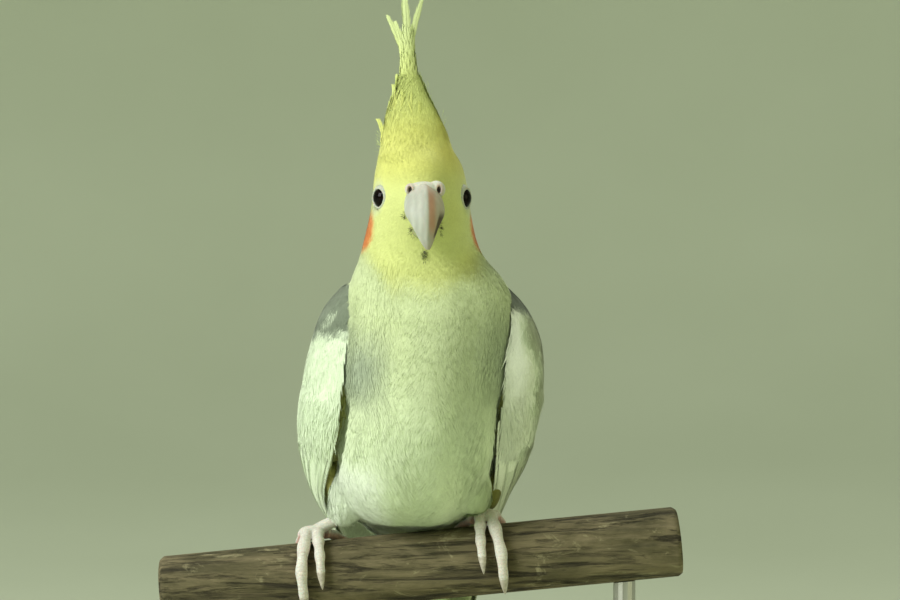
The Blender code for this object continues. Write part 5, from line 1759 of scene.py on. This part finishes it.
# The eyelids' rim from the inside out: radius and how far it stands out from the eye's middle.
LID_PROFILE = ((2.84, 2.30), (2.94, 2.60), (3.10, 2.70), (3.32, 2.60), (3.60, 2.25), (4.0, 1.65),
               (4.6, 0.5))
LID_FOLDS = 34
LID_FOLD_DEPTH = 0.05


def eyes(look, lids):
    """An eyeball and its lids on each side."""
    made = []
    for side, word in ((-1, "right"), (1, "left")):
        centre, facing = eye_centre(side), eye_direction(side)
        globe = loft_object("eye_fine_" + word, ball(centre, (EYE_RADIUS,) * 3, 64, 48))
        points = bird_points(globe)
        along = (points - centre) @ facing
        radial = np.linalg.norm(points - centre - along[:, None] * facing, axis=1)
        iris = ease(radial, *IRIS_INSIDE) * ease(radial, *IRIS_OUTSIDE)
        colours = blend_in(np.broadcast_to(PUPIL, points.shape), IRIS, iris)
        made += [dressed(globe, look, colours), lid(word, centre, facing, lids)]
    return made


def lid(word, centre, facing, look):
    """The rim of both eyelids: a ring of small folds, with a skirt down to the skin."""
    up = np.array((0.0, 0.0, 1.0))
    across = unit(np.cross(facing, up))
    a = circle(96)
    outward = np.cos(a)[:, None] * across + np.sin(a)[:, None] * up
    tall = 1 + 0.03 * np.sin(a) ** 2
    corner = 0.25 * np.abs(np.cos(a)) ** 8
    upper = 0.35 * np.clip(np.sin(a), 0, 1) ** 2
    rows = []
    for radius, out in LID_PROFILE:
        folds = LID_FOLD_DEPTH * np.sin(a * LID_FOLDS + radius * 3) * (2.9 < radius < 4.1)
        r = (radius * tall + corner - upper * (radius < 3.2) + folds)[:, None]
        rows.append(centre + outward * r + facing * (out + 0.25 * upper + folds)[:, None])
    faces = grid_faces(len(rows), len(a), True)
    return dressed(mesh_object("eyelids_" + word, np.vstack(rows), faces), look)


# Feet

# The radius round the perch's axis at which toes and palm rest.
GRIP_RADIUS = PERCH_RADIUS + PERCH_TOP_GAP
PALM_SIZE = (4.2, 3.1, PALM_RADIUS * 0.95)
# Scales across the top of each toe.
SCALE_LENGTH = 1.15
SCALE_DEPTH = 0.13
FOOT_SKIN = (0.72, 0.70, 0.62)
# Pink of the toes' sides and undersides, partly painted shade under them.
FOOT_PINK_AND_SHADE = (0.66, 0.34, 0.27)
FOOT_CREASE = (0.62, 0.48, 0.40)
# Places along a claw, and its radius there as a share of the toe's; the first is in the toe.
CLAW_SHAPE = ((-0.12, 0.0, 0.3, 0.6, 0.85, 1.0), (0.84, 0.92, 0.74, 0.50, 0.27, 0.05))
CLAW_CURVE = 0.22
PERCH_ALONG = np.array((math.cos(PERCH_RISE), 0.0, math.sin(PERCH_RISE)))
PERCH_UP = np.array((-math.sin(PERCH_RISE), 0.0, math.cos(PERCH_RISE)))
PERCH_FRONT = np.array((0.0, -1.0, 0.0))
PERCH_MIDDLE = np.array((0.0, 0.0, -PERCH_RADIUS / math.cos(PERCH_RISE)))


def perch_point(along, degrees, radius):
    """Points round the perch: degrees from its top towards the front."""
    a = np.radians(degrees)
    out = np.cos(a)[..., None] * PERCH_UP + np.sin(a)[..., None] * PERCH_FRONT
    middle = PERCH_MIDDLE + np.asarray(along)[..., None] * PERCH_ALONG
    return middle + np.asarray(radius)[..., None] * out


def off_axis(points):
    """The way out from the perch's axis at each point."""
    away = points - PERCH_MIDDLE
    return unit(away - np.asarray(away @ PERCH_ALONG)[..., None] * PERCH_ALONG)


def toe_path(side, toe):
    """Middle line of a toe, and its radii."""
    s0, s1, a0, a1, r0, r1, _ = TOES[toe]
    f = np.linspace(0, 1, 40)
    radius = r0 + (r1 - r0) * f
    knuckles = 1 + 0.10 * np.cos(2 * math.pi * 3 * f)
    s = LEGS[side][1] + OUTWARD[side] * (s0 + (s1 - s0) * np.minimum(1.0, f * 1.5))
    path = perch_point(s, a0 + (a1 - a0) * f, GRIP_RADIUS + radius * 1.06)
    return path, radius * knuckles * (1 - 0.14 * ease(f, 0.86, 1.0))


def foot_look():
    look = Look("foot_skin", 0.55, Specular_IOR_Level=0.35, Subsurface_Weight=0.15,
                Subsurface_Scale=0.0015)
    cells = look.node("TexVoronoi", {"feature": "DISTANCE_TO_EDGE"}, Scale=1100.0)
    look.feed(cells.inputs["Vector"], look.coordinates())
    edges = look.ramp(cells.outputs["Distance"], [(0.0, grey(0.72)), (0.12, grey(1.0))])
    mottle = look.shades(look.noise(500.0, 4.0), 0.86)
    mottled = look.mix("MULTIPLY", 1.0, look.stored(), mottle)
    look.colour(look.mix("MULTIPLY", 0.7, mottled, edges))
    look.bump(edges, 0.10, 0.5)
    return look.material


def foot(side, look):
    """Shank, palm and toes as one skin, with scales across the top of each toe."""
    rows, along = np.array(LEGS[side][0]), LEGS[side][1]
    palm = perch_point(np.array(along), np.array(0.0), np.array(GRIP_RADIUS + PALM_RADIUS))
    hem, down = rows[2], unit(curve(rows, 2.0) - curve(rows, 1.8))
    shank = np.array([hem - down * 5.0, hem, hem * 0.4 + palm * 0.6, palm])
    shank = curve(shank, np.linspace(0, 3, 20))
    parts = [
        loft_object("part", sweep(shank, np.full(20, TARSUS_RADIUS), 20)),
        loft_object("part", ball(palm, PALM_SIZE)),
    ]
    toes = [toe_path(side, toe) for toe in TOES]
    parts += [loft_object("part", sweep(path, radius, 20)) for path, radius in toes]
    made = fused("foot_fine_" + side, parts, *FOOT_GRAIN)
    points = bird_points(made)
    shift, pink_and_shade = np.zeros(len(points)), np.zeros(len(points))
    for path, radius in toes:
        gaps = distances(points, path[::2])
        nearest = gaps.argmin(1) * 2
        close = gaps.min(1) < radius[nearest] * 1.5
        from_path = points - path[nearest]
        ahead = unit(np.gradient(path, axis=0))[nearest]
        place_along = travel(path)[nearest] + np.sum(from_path * ahead, -1)
        top = np.sum(unit(from_path) * off_axis(path)[nearest], -1)
        ripple = np.abs(np.sin(place_along * math.pi / SCALE_LENGTH)) ** 0.5 - 0.7
        shift = np.where(close, SCALE_DEPTH * ripple * ease(top, -0.2, 0.5), shift)
        # Pink and painted shade on the sides and undersides of the toe.
        pink_and_shade = np.where(close, ease(top, 0.4, -0.5), pink_and_shade)
    set_points(made.data, points + vertex_normals(made) * shift[:, None])
    colours = np.broadcast_to(FOOT_SKIN, points.shape)
    colours = blend_in(colours, FOOT_PINK_AND_SHADE, 0.75 * pink_and_shade)
    colours = blend_in(colours, FOOT_CREASE, 0.7 * ease(shift, 0.0, -0.09))
    return dressed(made, look, colours)


def claw_look():
    look = Look("claw_horn", 0.35, Specular_IOR_Level=0.5, Coat_Weight=0.2, Coat_Roughness=0.2)
    grain = look.noise(900.0, 4.0)
    look.colour(look.tones(grain, (0.34, 0.30, 0.24), (0.56, 0.52, 0.43)))
    look.rough(grain, 0.25, 0.45)
    return look.material


def claws(side, look):
    """A curved, pointed claw on each toe."""
    made = []
    for toe, (*_, tip_radius, length) in TOES.items():
        path, _ = toe_path(side, toe)
        ahead = unit(path[-1] - path[-2])
        g = np.linspace(CLAW_SHAPE[0][0], 1, 30)
        bent = np.outer(length * CLAW_CURVE * g * np.abs(g), -off_axis(path[-1]))
        line = path[-1] + np.outer(length * g, ahead) + bent
        radii = tip_radius * np.interp(g, *CLAW_SHAPE)
        claw = loft_object(f"claw_fine_{side}_{toe}", sweep(line, radii, 24))
        made.append(dressed(claw, look))
    return made


# Perch and stand

def perch_look():
    look = Look("perch_wood", 0.8, Specular_IOR_Level=0.25)

    def along_branch(scale, detail, roughness, stretch, distortion):
        vector = look.coordinates((stretch, 1.0, 1.0), (0.0, PERCH_RISE, 0.0))
        return look.noise(scale, detail, roughness, vector, distortion)

    grain = along_branch(420.0, 8.0, 0.7, 0.10, 0.5)
    patches = along_branch(80.0, 6.0, 0.65, 0.35, 0.6)
    cracks = along_branch(330.0, 6.0, 0.7, 0.09, 0.8)
    lichen = along_branch(170.0, 7.0, 0.7, 0.45, 0.8)
    wood = look.ramp(grain, [
        (0.30, (0.030, 0.024, 0.010, 1)), (0.5, (0.105, 0.085, 0.040, 1)),
        (0.70, (0.25, 0.20, 0.115, 1)),
    ])
    moss = look.ramp(patches, [(0.38, (0.050, 0.052, 0.022, 1)), (0.62, (0.22, 0.19, 0.105, 1))])
    mixed = look.mix("MIX", 0.5, wood, moss)
    spots = look.ramp(lichen, [(0.56, grey(0.0)), (0.64, grey(0.75))])
    mixed = look.mix("MIX", spots, mixed, (0.30, 0.27, 0.15, 1.0))
    dark = look.ramp(cracks, [(0.36, grey(0.16)), (0.48, grey(1.0))])
    look.colour(look.mix("MULTIPLY", 0.9, mixed, dark))
    height = look.sums("ADD", look.sums("MULTIPLY", dark, 0.7), look.sums("MULTIPLY", grain, 0.6))
    look.bump(height, 0.8, 0.9)
    look.rough(grain, 0.7, 0.9)
    return look.material


def end_look():
    look = Look("perch_end_wood", 0.75, Specular_IOR_Level=0.25)
    rings = look.node("TexWave", {"wave_type": "RINGS", "rings_direction": "X"}, Scale=190.0,
                      Distortion=2.5, Detail=3.0)
    look.feed(rings.inputs["Vector"], look.coordinates())
    look.colour(look.ramp(rings.outputs["Color"], [
        (0.2, (0.20, 0.14, 0.075, 1)), (0.8, (0.36, 0.28, 0.16, 1)),
    ]))
    look.bump(rings.outputs["Color"], 0.15, 0.3)
    return look.material


# Bark: number of low waves and of cracks, how high the waves are, how deep the cracks.
BARK_WAVES, BARK_WAVE_HEIGHT = 7, 0.05
BARK_CRACKS, BARK_CRACK_DEPTH = 26, 0.28
# The branch's mean radius lies this far inside the solid's, and its ends are rounded off.
BARK_INSET = 0.12
END_ROUNDING, END_DROP = 1.2, 0.9


def perch(look, ends, rng):
    """The branch, with waves and cracks along its bark."""
    rows, sides = 260, 96
    s = np.linspace(-PERCH_HALF_LENGTH, PERCH_HALF_LENGTH, rows)[:, None]
    a = np.linspace(0, 360, sides, endpoint=False)[None, :]
    turn = np.radians(a)
    radius = PERCH_RADIUS - BARK_INSET + 0 * (s + a)
    for k in range(BARK_WAVES):
        lobes, waves = rng.integers(2, 9), rng.uniform(0.01, 0.06)
        phase = rng.uniform(0, 6.28, 2)
        wave = np.sin(lobes * turn + phase[0] + 0.6 * np.sin(waves * s + phase[1]))
        radius += BARK_WAVE_HEIGHT * wave
    for k in range(BARK_CRACKS):
        centre, width = rng.uniform(0, 6.28), rng.uniform(0.03, 0.07)
        start, length = rng.uniform(-80, 60), rng.uniform(20, 70)
        gap = (turn - centre - 0.004 * (s - start) + math.pi) % (2 * math.pi) - math.pi
        inside = ease(s, start, start + 6) * ease(s, start + length, start + length - 6)
        radius -= BARK_CRACK_DEPTH * np.exp(-((gap / width) ** 2)) * inside
    rounding = ease(np.abs(s), PERCH_HALF_LENGTH - END_ROUNDING, PERCH_HALF_LENGTH)
    rings = perch_point(s + 0 * a, a + 0 * s, radius - END_DROP * rounding)
    made = dressed(dressed(loft_object("perch_branch", rings), look), ends)
    for face in made.data.polygons:
        if len(face.vertices) == 3:
            face.material_index = 1
    return made


def base_look():
    look = Look("base_wood", 0.45, Specular_IOR_Level=0.4, Coat_Weight=0.15, Coat_Roughness=0.3)
    grain = look.noise(60.0, 8.0, 0.6, look.coordinates((0.12, 1.0, 1.0)), 1.2)
    pores = look.noise(600.0, 4.0, 0.6, look.coordinates((0.05, 1.0, 1.0)))
    wood = look.ramp(grain, [
        (0.3, (0.14, 0.080, 0.040, 1)), (0.5, (0.24, 0.145, 0.075, 1)),
        (0.7, (0.33, 0.215, 0.12, 1)),
    ])
    dark = look.ramp(pores, [(0.35, grey(0.72)), (0.5, grey(1.0))])
    look.colour(look.mix("MULTIPLY", 0.8, wood, dark))
    look.bump(pores, 0.06, 0.3)
    look.rough(grain, 0.38, 0.55)
    return look.material


def rod_look():
    look = Look("rod_metal", 0.35, Metallic=1.0)
    brushed = look.noise(900.0, 4.0, 0.6, look.coordinates((1.0, 1.0, 0.04)))
    look.colour(look.tones(brushed, (0.42, 0.41, 0.39), (0.55, 0.54, 0.52)))
    look.rough(brushed, 0.28, 0.42)
    look.bump(brushed, 0.02, 0.3)
    return look.material


# Studio

# Floor and backdrop in metres: distance from the middle and height.
FLOOR_REACH = np.array([0.0, 0.4, 0.8, 1.2, 1.5, 1.75, 1.95, 2.1, 2.2, 2.25, 2.27])
FLOOR_RISE = np.array([0.0, 0.0, 0.0, 0.01, 0.05, 0.12, 0.24, 0.42, 0.62, 0.86, 1.1])
FLOOR_GAP = 0.0005
FLOOR_ROWS, FLOOR_COLUMNS = 60, 96
LAMP_TARGET = (0.0, -0.02, 0.21)
# Lamps: place and width in metres, power in watts and colour.
LAMPS = {
    "key": ((-1.15, -0.85, 0.95), 0.8, 28.5, (1.0, 1.0, 1.0)),
    "fill": ((1.4, -0.7, 0.6), 0.9, 4.2, (1.0, 1.0, 0.6)),
    "top": ((0.1, 0.35, 1.5), 1.0, 9.0, (1.0, 1.0, 0.96)),
}
SKY = (0.62, 0.68, 0.50, 1.0)
SKY_STRENGTH = 0.34
# Camera: across, distance in front of the perch's axis and height over its top, in millimetres.
CAMERA_PLACE = (9.4, 690.0, 75.0)


def lamp(name, place_at, width, power, colour):
    data = bpy.data.lights.new(name, "AREA")
    data.shape = "RECTANGLE"
    data.size = data.size_y = width
    data.energy = power
    data.color = colour
    made = linked(name, data)
    made.location = place_at
    ahead = Vector(LAMP_TARGET) - Vector(place_at)
    made.rotation_euler = ahead.to_track_quat("-Z", "Y").to_euler()


def studio():
    """A pale floor that curves up into a plain backdrop all round, lamps and sky."""
    turn = circle(FLOOR_COLUMNS)
    steps = np.linspace(0, len(FLOOR_REACH) - 1, FLOOR_ROWS)
    reach = curve(FLOOR_REACH, steps)[..., 0].clip(0.01, None)
    rise = curve(FLOOR_RISE, steps)[..., 0] - FLOOR_GAP
    rise[steps < 2.6] = -FLOOR_GAP
    shape = np.stack(np.broadcast_arrays(
        reach[:, None] * np.cos(turn), reach[:, None] * np.sin(turn), rise[:, None]
    ), -1)
    floor = mesh_object(
        "studio_floor", shape.reshape(-1, 3) / MM - (0.0, PERCH_Y, PERCH_TOP),
        grid_faces(FLOOR_ROWS, FLOOR_COLUMNS, True),
    )
    look = Look("studio_floor", 0.8, Specular_IOR_Level=0.2)
    look.colour(look.tones(look.noise(3.0, 2.0), (0.56, 0.62, 0.46), (0.59, 0.65, 0.49)))
    dressed(floor, look.material)
    for name, settings in LAMPS.items():
        lamp(name, *settings)
    world = bpy.data.worlds.new("studio")
    world.use_nodes = True
    background = world.node_tree.nodes["Background"]
    background.inputs["Color"].default_value = SKY
    background.inputs["Strength"].default_value = SKY_STRENGTH
    bpy.context.scene.world = world
    bpy.context.scene.view_settings.view_transform = "Standard"


def camera():
    data = bpy.data.cameras.new("camera")
    data.lens = 85.0
    data.sensor_width = 36.0
    data.clip_start = 0.01
    made = linked("camera", data)
    across, in_front, over = CAMERA_PLACE
    made.location = place((across, -in_front, over))
    made.rotation_euler = (math.pi / 2, 0.0, 0.0)
    bpy.context.scene.camera = made


def finish_piece(piece, slot_name, *nodes):
    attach(piece, "root")
    if nodes:
        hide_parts(*nodes)


def main():
    rng = np.random.default_rng(SEED)
    camera()
    studio()

    plumage = plumage_look("plumage")
    finish_piece(skin(skin_look()), "body_feathers", "head", "neck", "torso", "leg_right",
                 "leg_left")
    for piece in body_coat(plumage, rng):
        finish_piece(piece, "body_feathers")

    thin = bristles("coat_bristles", DARK_BRISTLES_AND_SHADE, BRISTLE_AND_SHADE_DARK, plumage, rng, 0.5, blades=2,
                    spread=5.0)
    thin += bristles("coat_hairs", CREST_HAIRS, CREST_HAIR, plumage, rng, 0.3, blades=1,
                     spread=3.0)
    for piece in thin:
        finish_piece(piece, "face_feathers")

    vane = vane_look("vane")
    for side in ("right", "left"):
        finish_piece(wing_feathers(side, vane, rng), "wing_feathers", "wing_" + side)
        for piece in wing_coverts(side, plumage, rng):
            finish_piece(piece, "wing_feathers")
    finish_piece(tail_feathers(vane, rng), "tail_feathers", "tail")
    crest_look = plumage_look("crest_plumage", 0.75)
    finish_piece(crest_feathers(crest_look, rng), "crest_feathers", "crest")

    upper, lower = bill(bill_look())
    finish_piece(upper, "bill_horn", "bill_upper")
    finish_piece(lower, "bill_horn", "bill_lower")
    finish_piece(cere(cere_look()), "cere_skin", "cere")
    right_eye, right_lid, left_eye, left_lid = eyes(eye_look(), lid_look())
    finish_piece(right_eye, "eye_dark", "eye_right")
    finish_piece(left_eye, "eye_dark", "eye_left")
    for piece in (right_lid, left_lid):
        finish_piece(piece, "face_feathers")

    skin_of_feet, horn = foot_look(), claw_look()
    for side in ("right", "left"):
        finish_piece(foot(side, skin_of_feet), "foot_skin", "foot_" + side)
        for piece, toe in zip(claws(side, horn), TOES):
            finish_piece(piece, "claw_horn", f"claw_{side}_{toe}")

    finish_piece(perch(perch_look(), end_look(), rng), "perch_wood", "perch")
    for node, look in (
        ("stand_base", base_look()), ("stand_rod_left", rod_look()), ("stand_rod_right", rod_look())
    ):
        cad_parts[node].data.materials.clear()
        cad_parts[node].data.materials.append(look)


main()
